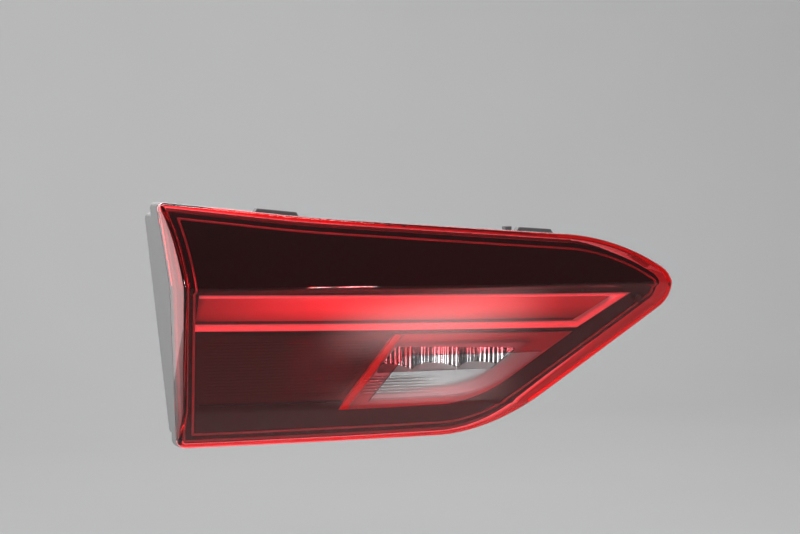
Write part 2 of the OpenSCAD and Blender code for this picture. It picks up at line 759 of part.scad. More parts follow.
module bezel() color([0.12, 0.11, 0.12]) difference() {
    union() {
        difference() {
            intersection() {
                slab(inset(lens_corners, line_inset), ahead_y, 0);
                behind(bezel_curve, 0);
            }
            behind(bezel_curve, bezel_t);
        }
        difference() {
            intersection() {
                ring(lens_corners, line_inset, line_inset + line_w, ahead_y, 0);
                behind(bezel_curve, -line_h);
            }
            behind(bezel_curve, bezel_t);
        }
        intersection() {
            difference() {
                ring(lens_corners, bezel_inset, line_inset + line_w, ahead_y, 0);
                behind(bezel_curve, border_drop + bezel_t);
            }
            behind(bezel_curve, border_drop);
            before(seam_curve, bead_h);
        }
        intersection() {
            ring(lens_corners, bezel_inset, bezel_inset + skirt_t, ahead_y, 0);
            behind(bezel_curve, border_drop);
            before(seam_curve, bead_h);
        }
        rod(tip_screw_x, tip_screw_z, post_r, y_at(tip_screw_x, tip_pad_depth),
            y_at(tip_screw_x, tip_pad_depth) + tip_pad_t);
    }
    slab(inset(bar_corners, -opening_gap), ahead_y, 0);
    slab(inset(fog_corners, -opening_gap), ahead_y, 0);
    reverse_area(opening_gap);
    rod(tip_screw_x, tip_screw_z, screw_d / 2, ahead_y, 0);
}
module bezel_screw() color("silver") union() {
    seat = y_at(tip_screw_x, tip_pad_depth);
    rod(tip_screw_x, tip_screw_z, screw_head_d / 2, seat - tip_head_h, seat);
    rod(tip_screw_x, tip_screw_z, pilot_r, seat - tip_head_h / 2, seat + tip_screw_l);
}

module bar_light_guide() color("salmon") difference() {
    intersection() {
        slab(bar_corners, ahead_y, 0);
        behind(plain_curve, guide_depth);
        before(plain_curve, guide_depth + guide_d);
    }
    slab(guide_hole, ahead_y - past, past);
}
module bar_diffuser() color("lightcoral") intersection() {
    slab(diffuser_corners, ahead_y, 0);
    behind(plain_curve, diffuser_depth);
    before(plain_curve, diffuser_depth + diffuser_t);
}
module bar_trough() color("white") difference() {
    union() {
        intersection() {
            slab(bar_corners, ahead_y, -trough_y);
            behind(plain_curve, guide_depth + guide_d);
            before(plain_curve, guide_depth + guide_d + trough_wall);
        }
        intersection() {
            slab(diffuser_corners, ahead_y, -trough_y);
            behind(plain_curve, diffuser_depth + diffuser_t);
        }
        for (s = leg_places) {
            p = on_bar([s, -bar_middle]);
            rod(p[0], p[1], leg_d / 2, trough_floor, inner_y);
        }
    }
    slab(inset(diffuser_corners, trough_wall), ahead_y, trough_floor);
    for (s = leg_places) {
        p = on_bar([s, -bar_middle]);
        rod(p[0], p[1], pilot_r, inner_y - screw_in, 0);
    }
}
module bar_led_board() color("seagreen")
    slab(inset(diffuser_corners, trough_wall + 0.4), trough_floor - board_t, trough_floor);
module bar_leds() color("khaki") {
    last = bar_l - bar_h / tan(bar_end_slant) - led_margin;
    for (i = [0 : bar_led_n - 1]) {
        p = on_bar([led_margin + (last - led_margin) * i / (bar_led_n - 1), -bar_middle]);
        block(p[0], p[1], led_l, led_w, trough_floor - board_t - led_h, trough_floor - board_t);
    }
}
module trough_screws() color("silver") for (s = leg_places) {
    p = on_bar([s, -bar_middle]);
    screw(p[0], p[1], -back_y, housing_wall + screw_in - screw_tip_gap);
}
// A small screw put in from behind, with its head on the face at y
module screw(x, z, y, l) {
    rod(x, z, screw_head_d / 2, y, y + screw_head_h);
    rod(x, z, pilot_r, y - l, y + screw_head_h / 2);
}

module fog_lens() color([0.45, 0.05, 0.07]) difference() {
    union() {
        intersection() {
            slab(fog_corners, ahead_y, 0);
            behind(bezel_curve, fog_back);
        }
        intersection() {
            slab(inset(fog_corners, fog_border), ahead_y, 0);
            behind(ribbed(bezel_lower_gap + fog_back, fog_rib_h, fog_rib_pitch, -fog_drop, -recess_foot - 2), 0);
        }
    }
    behind(bezel_curve, fog_depth);
}
// Depth of the fog reflector's curve at a distance r from the bulb
function fog_curve(wall) = [for (r = [0 : 8 : 80]) [r, inner_y - wall - r * r / (4 * fog_focus)]];
module fog_bowl(wall) turned_y(-bulb_x, -bulb_drop,
    concat(fog_curve(wall), [[80, ahead_y - 10], [0, ahead_y - 10]]));
module fog_reflector() color("lightgray") difference() {
    union() {
        difference() {
            intersection() {
                slab(inset(fog_corners, mirror_gap), ahead_y, 0);
                behind(bezel_curve, fog_depth);
                fog_bowl(0);
            }
            intersection() {
                slab(inset(fog_corners, mirror_gap + mirror_wall), ahead_y, 0);
                fog_bowl(mirror_wall);
            }
        }
        rod(-bulb_x, -bulb_drop, hole_r + mirror_wall, inner_y - 4, inner_y);
    }
    rod(-bulb_x, -bulb_drop, hole_r, ahead_y, 0);
}
glass_tip = inner_y - 1 - glass_l;
glass_straight = 0.72 * glass_l;
cap_back = inner_y + 11;
module fog_bulb() color("ghostwhite") turned_y(-bulb_x, -bulb_drop, [
    for (a = [0 : 10 : 90]) [bulb_r * sin(a), glass_tip + bulb_r * (1 - cos(a))],
    [bulb_r, glass_tip + glass_straight],
    [cap_d / 2, glass_tip + glass_l],
    [cap_d / 2, cap_back],
    [0, cap_back]]);
holder_y = -back_y + collar_h + seal_t;
module fog_holder_seal() color([0.2, 0.2, 0.2]) difference() {
    rod(-bulb_x, -bulb_drop, collar_r - 0.5, holder_y - seal_t, holder_y);
    rod(-bulb_x, -bulb_drop, hole_r, holder_y - 2 * seal_t, holder_y + seal_t);
}
module fog_bulb_holder() color([0.25, 0.25, 0.27]) difference() {
    holder_r = hole_r - 0.3;
    rim_t = 2.5;
    body_r = holder_r - 2.5;
    body_l = 15;
    grip_t = 3;
    grip_l = 2 * collar_r - 3;
    grip_h = 11;
    plug = [18, 11, 22];
    plug_wall = 1.5;
    plug_floor = 14;
    union() {
        rod(-bulb_x, -bulb_drop, holder_r, inner_y, holder_y + rim_t);
        rod(-bulb_x, -bulb_drop, collar_r, holder_y, holder_y + rim_t);
        rod(-bulb_x, -bulb_drop, body_r, holder_y, holder_y + body_l);
        block(-bulb_x, -bulb_drop, grip_l, grip_t, holder_y, holder_y + grip_h);
        block(-bulb_x, -bulb_drop, grip_t, grip_l, holder_y, holder_y + grip_h);
        block(-bulb_x, -bulb_drop, plug[0], plug[1], holder_y, holder_y + plug[2]);
    }
    rod(-bulb_x, -bulb_drop, cap_d / 2, inner_y - past, cap_back);
    block(-bulb_x, -bulb_drop, plug[0] - 2 * plug_wall, plug[1] - 2 * plug_wall, holder_y + plug_floor,
        holder_y + plug[2] + past);
}

mirror_right = mirror_x + cell_n * cell_w;
mirror_foot = mirror_drop + mirror_h;
mirror_top = -mirror_drop + 1.3;
// How far the opening's ends slant inwards, and how far its top and bottom edges lean
mirror_left_slant = 12;
mirror_right_slant = 15;
mirror_top_fall = 2.8;
mirror_foot_rise = 0.8;
mirror_corners = [
    [mirror_x, -mirror_foot, corner_r],
    [mirror_right - mirror_right_slant, -mirror_foot + mirror_foot_rise, corner_r],
    [mirror_right + corner_r, -mirror_drop - mirror_top_fall, corner_r],
    [mirror_x + mirror_left_slant, -mirror_drop, corner_r]];
ledge_foot = -70;
ledge_right = 45;
ledge_top = -mirror_foot - 1.5;
module reverse_bezel() color("silver") difference() {
    union() {
        difference() {
            intersection() {
                reverse_area(0);
                behind(bezel_curve, 0);
            }
            behind(bezel_curve, bezel_t);
        }
        difference() {
            intersection() {
                reverse_area(0);
                behind(bezel_curve, -band_h);
            }
            slab(right_of_divider(band_w, -past), ahead_y - past, past);
            behind(bezel_curve, bezel_t);
        }
        difference() {
            intersection() {
                reverse_area(0);
                slab([[0, ledge_foot, 0], [ledge_right, ledge_foot, 0], [ledge_right, ledge_top, 0],
                    [0, ledge_top, 0]], ahead_y, 0);
                behind(ribbed(bezel_lower_gap, fog_rib_h, fog_rib_pitch, ledge_foot, ledge_top), 0);
            }
            behind(bezel_curve, bezel_t);
        }
    }
    slab(mirror_corners, ahead_y - past, past);
}

// Plan points [x, y] of the reflector cells, from right to left, with or without flutes
cell_r = (cell_w * cell_w / 4 + cell_sag * cell_sag) / (2 * cell_sag);
cell_half = asin(cell_w / 2 / cell_r);
function cell_points(back, flute) = [for (c = [cell_n - 1 : -1 : 0], i = [0 : 2 * flute_n])
    let (a = cell_half * (1 - i / flute_n), r = cell_r + (i % 2 == 1 ? flute : 0))
    [mirror_x + (c + 0.5) * cell_w + r * sin(a), back - cell_r + r * cos(a)]];
module mirror_solid(back, wall, flute, foot) {
    front = y_at(plan_mid_x, 0);
    floor_z = -mirror_foot - foot;
    floor_front = -50;
    intersection() {
        translate([0, 0, low_z]) linear_extrude(height = -low_z) polygon(concat(
            [[mirror_right + wall, front]], wall > 0 ? [[mirror_right + wall, back - cell_sag]] : [],
            cell_points(back, flute),
            wall > 0 ? [[mirror_x - wall, back - cell_sag]] : [], [[mirror_x - wall, front]]));
        translate([-far_x, 0, 0]) rotate([90, 0, 90]) linear_extrude(height = 2 * far_x) polygon([
            [front, floor_z],
            [floor_front, floor_z],
            [0, floor_z - floor_front * tan(floor_rise)],
            [0, mirror_top],
            [front, mirror_top]]);
        slab(right_of_divider(mirror_gap + mirror_wall - wall, 0), ahead_y, 0);
    }
}
module reverse_reflector() color("lightgray") difference() {
    union() {
        intersection() {
            mirror_solid(-mirror_y, mirror_wall, 0, mirror_wall);
            behind(bezel_curve, bezel_t);
        }
        for (c = [0, cell_n - 1])
            rod(mirror_x + (c + 0.5) * cell_w, -mirror_drop - foot_drop, foot_r, -mirror_y - mirror_wall, inner_y);
    }
    // The hollow, once more a little higher to open the top
    mirror_solid(-mirror_y - mirror_wall, 0, flute_d, 0);
    translate([0, 0, past]) mirror_solid(-mirror_y - mirror_wall, 0, flute_d, 0);
}
foot_drop = 3.5;
foot_r = 3;
board_front = -50;
board_back = -mirror_y - 2;
reverse_led_y = -40;
module reverse_led_board() color("seagreen") intersection() {
    translate([mirror_x, board_front, mirror_top]) cube([mirror_right - mirror_x, board_back - board_front, board_t]);
    slab(right_of_divider(mirror_gap, 0), ahead_y, 0);
}
module reverse_leds() color("khaki") for (c = [0 : cell_n - 1])
    translate([mirror_x + (c + 0.5) * cell_w - led_l / 2, reverse_led_y - led_w / 2, mirror_top - led_h])
        cube([led_l, led_w, led_h]);

module driver_board() color("seagreen") block(driver_x, -driver_drop, board_l, board_h, board_y, board_y + board_t);
// Chips and a coil [x, z, length, width, height] from the board's middle, and a capacitor [x, z, radius, height]
driver_blocks = [[-14, 4, 9, 9, 1.6], [2, -6, 7, 5, 1.6], [14, -7, 8, 8, 4]];
driver_can = [-14, -8, 3, 6];
module driver_parts() color([0.2, 0.2, 0.22]) {
    top = board_y + board_t;
    for (b = driver_blocks) block(driver_x + b[0], -driver_drop + b[1], b[2], b[3], top, top + b[4]);
    rod(driver_x + driver_can[0], -driver_drop + driver_can[1], driver_can[2], top, top + driver_can[3]);
}
module driver_cover_seal() color([0.2, 0.2, 0.2]) difference() {
    block(driver_x, -driver_drop, driver_l + 2 * driver_flange, driver_h + 2 * driver_flange, -back_y, cover_y);
    block(driver_x, -driver_drop, driver_l, driver_h, -back_y - past, cover_y + past);
    for (p = cover_screw_places) rod(p[0], p[1], screw_d / 2, -back_y - past, 0);
}
pin_places = [for (i = [0 : pin_n - 1]) driver_x + (i - (pin_n - 1) / 2) * pin_pitch];
pin_z = -driver_drop + board_h / 2 - 5;
pin_back_gap = 3;
socket_wall = 1.5;
module driver_cover() color([0.25, 0.25, 0.27]) difference() {
    union() {
        block(driver_x, -driver_drop, driver_l + 2 * driver_flange, driver_h + 2 * driver_flange, cover_y, flange_back);
        block(driver_x, -driver_drop, driver_l, driver_h, cover_y, cover_back);
        block(driver_x, pin_z, socket_l, socket_h, cover_back - past, cover_back + socket_d);
    }
    block(driver_x, -driver_drop, driver_l - 2 * cover_wall, driver_h - 2 * cover_wall, cover_y - past,
        cover_back - cover_wall);
    block(driver_x, pin_z, socket_l - 2 * socket_wall, socket_h - 2 * socket_wall, cover_back,
        cover_back + socket_d + past);
    for (x = pin_places) block(x, pin_z, pin_s, pin_s, cover_y, cover_back + past);
    for (p = cover_screw_places) rod(p[0], p[1], screw_d / 2, cover_y - past, 0);
}
module connector_pins() color("gold") for (x = pin_places)
    block(x, pin_z, pin_s, pin_s, board_y + board_t, cover_back + socket_d - pin_back_gap);
module driver_cover_screws() color("silver") for (p = cover_screw_places)
    screw(p[0], p[1], flange_back, cover_flange_t + seal_t + screw_in - screw_tip_gap);

module vent_cap() color([0.2, 0.2, 0.2]) difference() {
    cap_wall = 1.6;
    slot_w = 2;
    slot_h = 1.5;
    rod(vent_place[0], vent_place[1], vent_d / 2, -back_y, -back_y + vent_h);
    rod(vent_place[0], vent_place[1], vent_d / 2 - cap_wall, -back_y - past, -back_y + vent_h / 2);
    block(vent_place[0], vent_place[1], vent_d + past, slot_w, -back_y - past, -back_y + slot_h);
    block(vent_place[0], vent_place[1], slot_w, vent_d + past, -back_y - past, -back_y + slot_h);
}
module rear_gasket() color([0.15, 0.15, 0.15]) ring(frame_corners, 0, gasket_w, -gasket_t, 0);
module stud(p) color("silver") union() {
    rod(p[0], p[1], flange_d / 2, -flange_t, 0);
    rod(p[0], p[1], stud_d / 2, -stud_in, stud_l);
}
module main_stud() stud(stud_places[0]);
module tip_stud() stud(stud_places[1]);
module lower_stud() stud(stud_places[2]);

outer_lens();
clear_window();
lens_seal();
housing();
bezel();
bar_light_guide();
bar_diffuser();
bar_trough();
bar_led_board();
bar_leds();
fog_lens();
fog_reflector();
fog_bulb();
fog_bulb_holder();
fog_holder_seal();
reverse_bezel();
reverse_reflector();
reverse_led_board();
reverse_leds();
driver_board();
driver_parts();
driver_cover();
driver_cover_seal();
driver_cover_screws();
connector_pins();
vent_cap();
rear_gasket();
main_stud();
tip_stud();
lower_stud();
bezel_screw();
trough_screws();
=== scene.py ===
import math
import bpy
import mathutils
import numpy as np
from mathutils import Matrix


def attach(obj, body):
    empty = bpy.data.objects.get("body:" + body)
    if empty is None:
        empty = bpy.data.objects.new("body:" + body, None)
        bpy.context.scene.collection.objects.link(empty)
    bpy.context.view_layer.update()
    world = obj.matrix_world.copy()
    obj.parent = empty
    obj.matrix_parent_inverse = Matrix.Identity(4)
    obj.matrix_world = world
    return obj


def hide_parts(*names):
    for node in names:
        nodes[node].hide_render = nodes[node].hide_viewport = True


# Red tail lamp for a tailgate. New surfaces stand for the lens, the bezel, the bar, the fog lens and the
# reversing light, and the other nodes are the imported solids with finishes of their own. Lengths are in
# millimetres, as in the source of the solids, until a mesh is made.

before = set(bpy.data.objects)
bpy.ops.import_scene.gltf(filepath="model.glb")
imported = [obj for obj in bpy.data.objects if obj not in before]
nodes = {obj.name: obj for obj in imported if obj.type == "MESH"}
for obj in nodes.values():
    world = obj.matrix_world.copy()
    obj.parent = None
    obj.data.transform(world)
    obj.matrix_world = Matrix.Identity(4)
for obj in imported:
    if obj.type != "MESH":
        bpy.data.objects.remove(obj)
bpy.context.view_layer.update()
MM = 0.001

# Lens outline: corners (x, z, radius), counterclockwise from the bottom left. Angles are in degrees.
CUT_DEGREES = 7.2
CUT_LEAN = math.radians(CUT_DEGREES)
LENS_LEFT = -127
LENS_TOP = 51.5
LENS_FOOT = -102
LENS_CORNERS = [
    (LENS_LEFT - LENS_FOOT * math.tan(CUT_LEAN), LENS_FOOT, 6),
    (90.6, -99, 100),
    (224.5, -2, 16),
    (168.5, 28.9, 150),
    (-45, 42.3, 900),
    (LENS_LEFT - LENS_TOP * math.tan(CUT_LEAN), LENS_TOP, 4)]
LENS_WALL = 3
CORNER_POINTS = 7
NOSE_POINTS = 16

# The seam behind the lens, the plan curve, and the curve of the face over its height
SEAM_DEPTH = 27
SEAM_RISE = 0.15
SEAM_FALL = 0.24
LAMP_DEPTH = 84
PLAN_R = 1600
PLAN_X = 20
UPPER_R = 75
UPPER_LEAN = 8
UPPER_TURN = 65
LOWER_LEAN = 21
CREASE_R = 5
TUCK_DROP = 77
TUCK_LEAN = 38.5
TUCK_R = 10

# The bezel and what lies in its openings. A drop is a distance below the crease.
BEZEL_T = 2
BEZEL_UPPER = 8
BEZEL_LOWER = 11.5
BEZEL_LINE_IN = 10.3
BEZEL_LINE_OUT = 9.0
BAR_DROP = 4.4
BAR_H = 22
BAR_FALL = 0.55
BAR_X = -113.5
BAR_TIP = 186
BAR_SLANT = 28.5
BAR_GAP = 3.2
GUIDE_DEPTH = 16
GUIDE_D = 10
GUIDE_TOP = 2
GUIDE_BOTTOM = 4
GUIDE_END = 3
DIVIDER_X = 36.6
DIVIDER_LEAN = 32
DIVIDER_BAND = 4.2
FOG_X = -114.0
FOG_DROP = 74
WINDOW_DROP = 44.2
WINDOW_X = 52
WINDOW_LEAN = 33.7
WINDOW_INSET = 27
SOFT_CORNER = 1.5
CLEARANCE = 0.25

# Beyond the lamp: the height at which the depth curves start, and how far the shapes that only cut reach
LOW = -125.0
BELOW = -120
FAR = 244.5


# Outlines

def unit(v):
    return v / np.linalg.norm(v)


def turn_between(before, after):
    """Signed angle from one unit vector to the next."""
    return math.atan2(before[0] * after[1] - before[1] * after[0], before @ after)


def arcs_of(corners):
    """Each rounded corner as (centre, signed radius, first and last angle of the outward normal)."""
    points = np.array([c[:2] for c in corners], float)
    found = []
    for i, corner in enumerate(corners):
        before = unit(points[i] - points[i - 1])
        after = unit(points[(i + 1) % len(corners)] - points[i])
        turn = turn_between(before, after)
        side = 1 if turn > 0 else -1
        start = points[i] - corner[2] * math.tan(abs(turn) / 2) * before
        centre = start + side * corner[2] * np.array([-before[1], before[0]])
        first = math.atan2(-before[0], before[1])
        found.append((centre, side * corner[2], first, first + turn))
    return found


def on_arc(arc, angles):
    """Points of a corner at these angles of the outward normal: centre + signed radius x normal."""
    return arc[0] + arc[1] * np.stack([np.cos(angles), np.sin(angles)], 1)


def inset(corners, distance):
    """Corners moved inwards by one distance, or by one for each edge that starts at a corner."""
    points = np.array([c[:2] for c in corners], float)
    moved = []
    for i, corner in enumerate(corners):
        u = unit(points[i] - points[i - 1])
        v = unit(points[(i + 1) % len(corners)] - points[i])
        before = distance[i - 1] if np.ndim(distance) else distance
        after = distance[i] if np.ndim(distance) else distance
        turn = u[0] * v[1] - u[1] * v[0]
        place = points[i] + (before * v - after * u) / turn
        radius = corner[2]
        if radius:
            radius = max(radius - min(before, after), 1) if turn > 0 else radius + max(before, after)
        moved.append((place[0], place[1], radius))
    return moved


def closed_path(corners, steps=10):
    """Points of a closed outline: some on each corner's arc and none between the arcs."""
    arcs = arcs_of(corners)
    return np.concatenate([on_arc(a, np.linspace(a[2], a[3], steps if a[1] else 1)) for a in arcs])


def edge_paths(corners, columns=90):
    """The lower and the upper edge of the lens outline or of one inside it, from the cut end to the nose.
    Both have as many points: along the first arc, evenly in x, and round the nose to the tip."""
    arcs = arcs_of(corners)

    def one_side(chain, begin, end):
        tip = chain[-1]
        first = on_arc(chain[0], np.linspace(chain[0][begin], chain[0][end], CORNER_POINTS))
        middle = [on_arc(a, np.linspace(a[begin], a[end], 60)) for a in chain[1:-1]]
        last = on_arc(tip, np.linspace(tip[begin], 0, NOSE_POINTS))
        dense = np.concatenate([first[-1:]] + middle + [last[:1]])
        x = np.linspace(dense[0, 0], dense[-1, 0], columns + 2)[1:-1]
        even = np.stack([x, np.interp(x, dense[:, 0], dense[:, 1])], 1)
        return np.concatenate([first, even, last])

    lower = one_side([arcs[0], arcs[1], arcs[2]], 2, 3)
    upper = one_side([arcs[5], arcs[4], arcs[3], arcs[2]], 3, 2)
    return lower, upper


# Depth curves: depth behind the crease as a function of height

def rounded_line(corners, step=1.0):
    """An open line of (z, depth, radius) corners with arcs, one point for each step in degrees."""
    points = [np.array(corners[0][:2], float)]
    for i in range(1, len(corners) - 1):
        here = np.array(corners[i][:2], float)
        before = unit(here - np.array(corners[i - 1][:2], float))
        after = unit(np.array(corners[i + 1][:2], float) - here)
        turn = turn_between(before, after)
        radius = corners[i][2]
        if not radius or abs(turn) < 1e-9:
            points.append(here)
            continue
        side = 1 if turn > 0 else -1
        start = here - radius * math.tan(abs(turn) / 2) * before
        middle = start + side * radius * np.array([-before[1], before[0]])
        arm = start - middle
        count = max(2, math.ceil(math.degrees(abs(turn)) / step))
        for a in np.linspace(0, turn, count + 1):
            points.append(middle + np.array([arm[0] * math.cos(a) - arm[1] * math.sin(a),
                                             arm[0] * math.sin(a) + arm[1] * math.cos(a)]))
    points.append(np.array(corners[-1][:2], float))
    return np.array(points)


def upper_points(first, back=0.0):
    """The upper face's arc from an angle past its lean at the crease, every degree: (z, depth, 0)."""
    turns = np.radians(np.arange(first, UPPER_TURN, 1.0) + UPPER_LEAN)
    lean = math.radians(UPPER_LEAN)
    return [(UPPER_R * (math.sin(t) - math.sin(lean)), UPPER_R * (math.cos(lean) - math.cos(t)) + back, 0)
            for t in turns]


lower_tan = math.tan(math.radians(LOWER_LEAN))
FACE = rounded_line([
    (LOW, TUCK_DROP * lower_tan + (-LOW - TUCK_DROP) * math.tan(math.radians(TUCK_LEAN)), 0),
    (-TUCK_DROP, TUCK_DROP * lower_tan, TUCK_R),
    (0, 0, CREASE_R)] + upper_points(4))
RECESS = BAR_DROP + BAR_H + 2
BEZEL = rounded_line([
    (LOW, -LOW * lower_tan + BEZEL_LOWER, 0),
    (-RECESS, RECESS * lower_tan + BEZEL_LOWER, 1.5),
    (-4.0, BEZEL_UPPER + 5, 0.6),
    (-1.4, BEZEL_UPPER, 0.5)] + upper_points(0, BEZEL_UPPER), 6)


def sag(x):
    """Depth that the plan curve adds at x."""
    return PLAN_R - np.sqrt(PLAN_R ** 2 - (x - PLAN_X) ** 2)


def face_depth(z):
    return np.interp(z, FACE[:, 0], FACE[:, 1])


def bezel_depth(z):
    return np.interp(z, BEZEL[:, 0], BEZEL[:, 1])


def seam_depth(z):
    return SEAM_DEPTH + np.where(z > 0, SEAM_RISE * z, -SEAM_FALL * z)


def placed(x, z, depth):
    """Points of the lamp, in millimetres, at a depth behind the crease."""
    return np.stack([x, -LAMP_DEPTH + sag(x) + depth, z], -1)


# Meshes

def grid_triangles(rows, columns, flip=False):
    """Two triangles for each cell of a grid of points that are stored row by row."""
    corner = (np.arange(rows - 1)[:, None] * columns + np.arange(columns - 1)[None, :]).ravel()
    a, b, c, d = corner, corner + 1, corner + columns + 1, corner + columns
    triangles = np.concatenate([np.stack([a, b, c], 1), np.stack([a, c, d], 1)])
    return triangles[:, ::-1] if flip else triangles


def piece(name, grids, materials, smooth_angle=35.0):
    """A mesh of point grids (rows x columns x 3, in millimetres), each with a flip and, where it isn't 0, the
    number of its material. Equal points are joined, and triangles that have no area are dropped."""
    points, triangles, finish, base = [], [], [], 0
    for grid, flip, *slot in grids:
        rows, columns = grid.shape[:2]
        points.append(grid.reshape(-1, 3))
        triangles.append(grid_triangles(rows, columns, flip) + base)
        finish.append(np.full(len(triangles[-1]), slot[0] if slot else 0, np.int32))
        base += rows * columns
    points = np.concatenate(points)
    triangles = np.concatenate(triangles)
    finish = np.concatenate(finish)
    _, where, back = np.unique(np.round(points, 5), axis=0, return_index=True, return_inverse=True)
    points = points[where] * MM
    triangles = back.ravel()[triangles]
    real = ((triangles[:, 0] != triangles[:, 1]) & (triangles[:, 1] != triangles[:, 2])
            & (triangles[:, 2] != triangles[:, 0]))
    triangles = triangles[real]
    finish = finish[real]
    mesh = bpy.data.meshes.new(name)
    mesh.vertices.add(len(points))
    mesh.vertices.foreach_set("co", points.ravel())
    mesh.loops.add(len(triangles) * 3)
    mesh.loops.foreach_set("vertex_index", triangles.ravel())
    mesh.polygons.add(len(triangles))
    mesh.polygons.foreach_set("loop_start", np.arange(len(triangles)) * 3)
    for material in materials:
        mesh.materials.append(material)
    mesh.polygons.foreach_set("material_index", finish)
    mesh.update(calc_edges=True)
    mesh.validate()
    made = bpy.data.objects.new(name, mesh)
    bpy.context.scene.collection.objects.link(made)
    finish_shading(mesh, smooth_angle)
    return made


def finish_shading(mesh, smooth_angle):
    mesh.shade_smooth()
    mesh.set_sharp_from_angle(angle=math.radians(smooth_angle))


def face_grid(lower, upper, levels, depth_of):
    """A face between two edges whose rows keep their height. Columns run from an edge point to its partner,
    and each level is held between them."""
    z = np.clip(levels[:, None], lower[None, :, 1], upper[None, :, 1])
    height = np.maximum(upper[:, 1] - lower[:, 1], 1e-9)
    share = (z - lower[None, :, 1]) / height[None, :]
    x = lower[None, :, 0] + (upper[:, 0] - lower[:, 0])[None, :] * share
    return placed(x, z, depth_of(z))


def side_levels(corners, levels, distances):
    """The heights at which the cut end has points on every one of these insets of the outline."""
    ends = [[edge[0, 1] for edge in edge_paths(inset(corners, d))]
            for d in (min(distances), max(distances))]
    return levels[(levels > max(e[0] for e in ends) + 0.5) & (levels < min(e[1] for e in ends) - 0.5)]


def rings_of(corners, left, profile, columns):
    """Closed rows round the outline, one for each (inset, depth function of height) of the profile: down the
    cut end, along the lower edge to the tip and back along the upper edge."""
    rows = []
    for distance, depth_of in profile:
        low, high = edge_paths(inset(corners, distance), columns)
        share = (left - low[0, 1]) / (high[0, 1] - low[0, 1])
        side = np.stack([low[0, 0] + (high[0, 0] - low[0, 0]) * share, left], 1)
        around = np.concatenate([side[::-1], low, high[-2::-1], side[-1:]])
        rows.append(placed(around[:, 0], around[:, 1], depth_of(around[:, 1])))
    return np.stack(rows)


def outline_face(corners, left, levels, distance, depth_of, columns):
    """The face inside one inset of the outline, with the cut end's points in its first column."""
    low, high = edge_paths(inset(corners, distance), columns)
    first, last = low[0, 1], high[0, 1]
    outside = levels[(levels < first - 0.2) | (levels > last + 0.2)]
    heights = np.unique(np.concatenate([left, outside, [first, last, -2 * LAMP_DEPTH, LAMP_DEPTH]]))
    return face_grid(low, high, heights, depth_of)


def cup(name, corners, levels, profile, materials, columns=90, inlay=(0, 0)):
    """A closed piece over an outline: a front face and a back face with rows at fixed heights, joined by a
    profile of (inset, depth function of height) that is carried round the outline. Inlay gives the first and
    the last row of the profile between which the second material lies, except along the cut end."""
    left = side_levels(corners, levels, [p[0] for p in profile])
    front = outline_face(corners, left, levels, *profile[0], columns)
    back = outline_face(corners, left, levels, *profile[-1], columns)
    rings = rings_of(corners, left, profile, columns)
    grids = [(front, False), (back, True), (rings[:inlay[0] + 1], True), (rings[inlay[1]:], True)]
    if inlay[1] > inlay[0]:
        band = rings[inlay[0]:inlay[1] + 1]
        grids += [(band[:, :len(left) + 1], True), (band[:, len(left):], True, 1)]
    return piece(name, grids, materials)


def band_piece(name, corners, levels, profile, material, columns=100):
    """A closed band round the outline, from a closed profile of (inset, depth function of height)."""
    left = side_levels(corners, levels, [p[0] for p in profile])
    return piece(name, [(rings_of(corners, left, profile, columns), False)], [material])


def shell(name, front, back, material, smooth_angle=35.0):
    """A closed piece between two grids of the same size, joined along their four edges."""
    strips = [(np.stack([front[0], back[0]]), True), (np.stack([back[-1], front[-1]]), True),
              (np.stack([front[:, 0], back[:, 0]]), False), (np.stack([back[:, -1], front[:, -1]]), False)]
    return piece(name, [(front, False), (back, True)] + strips, [material], smooth_angle)


def sheet(name, x, z, front_of, back_of, material, smooth_angle=35.0):
    """A plate over a rectangle of x and z values, with its two faces as functions of x and z."""
    grid_x, grid_z = np.meshgrid(x, z)
    return shell(name, placed(grid_x, grid_z, front_of(grid_x, grid_z)),
                 placed(grid_x, grid_z, back_of(grid_x, grid_z)), material, smooth_angle)


def prism(name, outline, y0=-110.0, y1=10.0):
    """An outline run along Y, for cutting."""
    loop = np.concatenate([outline, outline[:1]])
    middle = np.repeat(outline.mean(0)[None], len(loop), 0)

    def at(points, y):
        return np.stack([points[:, 0], np.full(len(points), y), points[:, 1]], 1)

    rows = np.stack([at(middle, y0), at(loop, y0), at(loop, y1), at(middle, y1)])
    return piece(name, [(rows, True)], [])


def cut(target, cutter, operation, name=None, smooth_angle=35.0):
    """The exact Boolean of a piece with a cutting shape. It changes the piece, or makes a new one where a
    name is given."""
    modifier = target.modifiers.new("cut", "BOOLEAN")
    modifier.operation = operation
    modifier.solver = "EXACT"
    modifier.object = cutter
    bpy.context.view_layer.update()
    shape = target.evaluated_get(bpy.context.evaluated_depsgraph_get())
    mesh = bpy.data.meshes.new_from_object(shape)
    target.modifiers.clear()
    made = target
    if name is not None:
        made = bpy.data.objects.new(name, mesh)
        bpy.context.scene.collection.objects.link(made)
    else:
        made.data = mesh
    mesh.name = made.name
    finish_shading(mesh, smooth_angle)
    return made


def drop(*cutters):
    for cutter in cutters:
        bpy.data.objects.remove(cutter)


def along(points, steps):
    """A line through points, with this many steps on each run between them."""
    parts = [points[i] + (points[i + 1] - points[i]) * np.linspace(0, 1, n, endpoint=False)[:, None]
             for i, n in enumerate(steps)]
    return np.concatenate(parts + [points[-1:]])


def meet(line, other):
    """Meeting point of two lines, each a point and a direction."""
    (p, u), (q, v) = line, other
    return p + u * ((q - p)[0] * v[1] - (q - p)[1] * v[0]) / (u[0] * v[1] - u[1] * v[0])


def direction(degrees):
    a = math.radians(degrees)
    return np.array([math.cos(a), math.sin(a)])


def inward(line, x, z):
    """Distance of points to the left of a line that is a point and a direction."""
    return line[1][0] * (z - line[0][1]) - line[1][1] * (x - line[0][0])


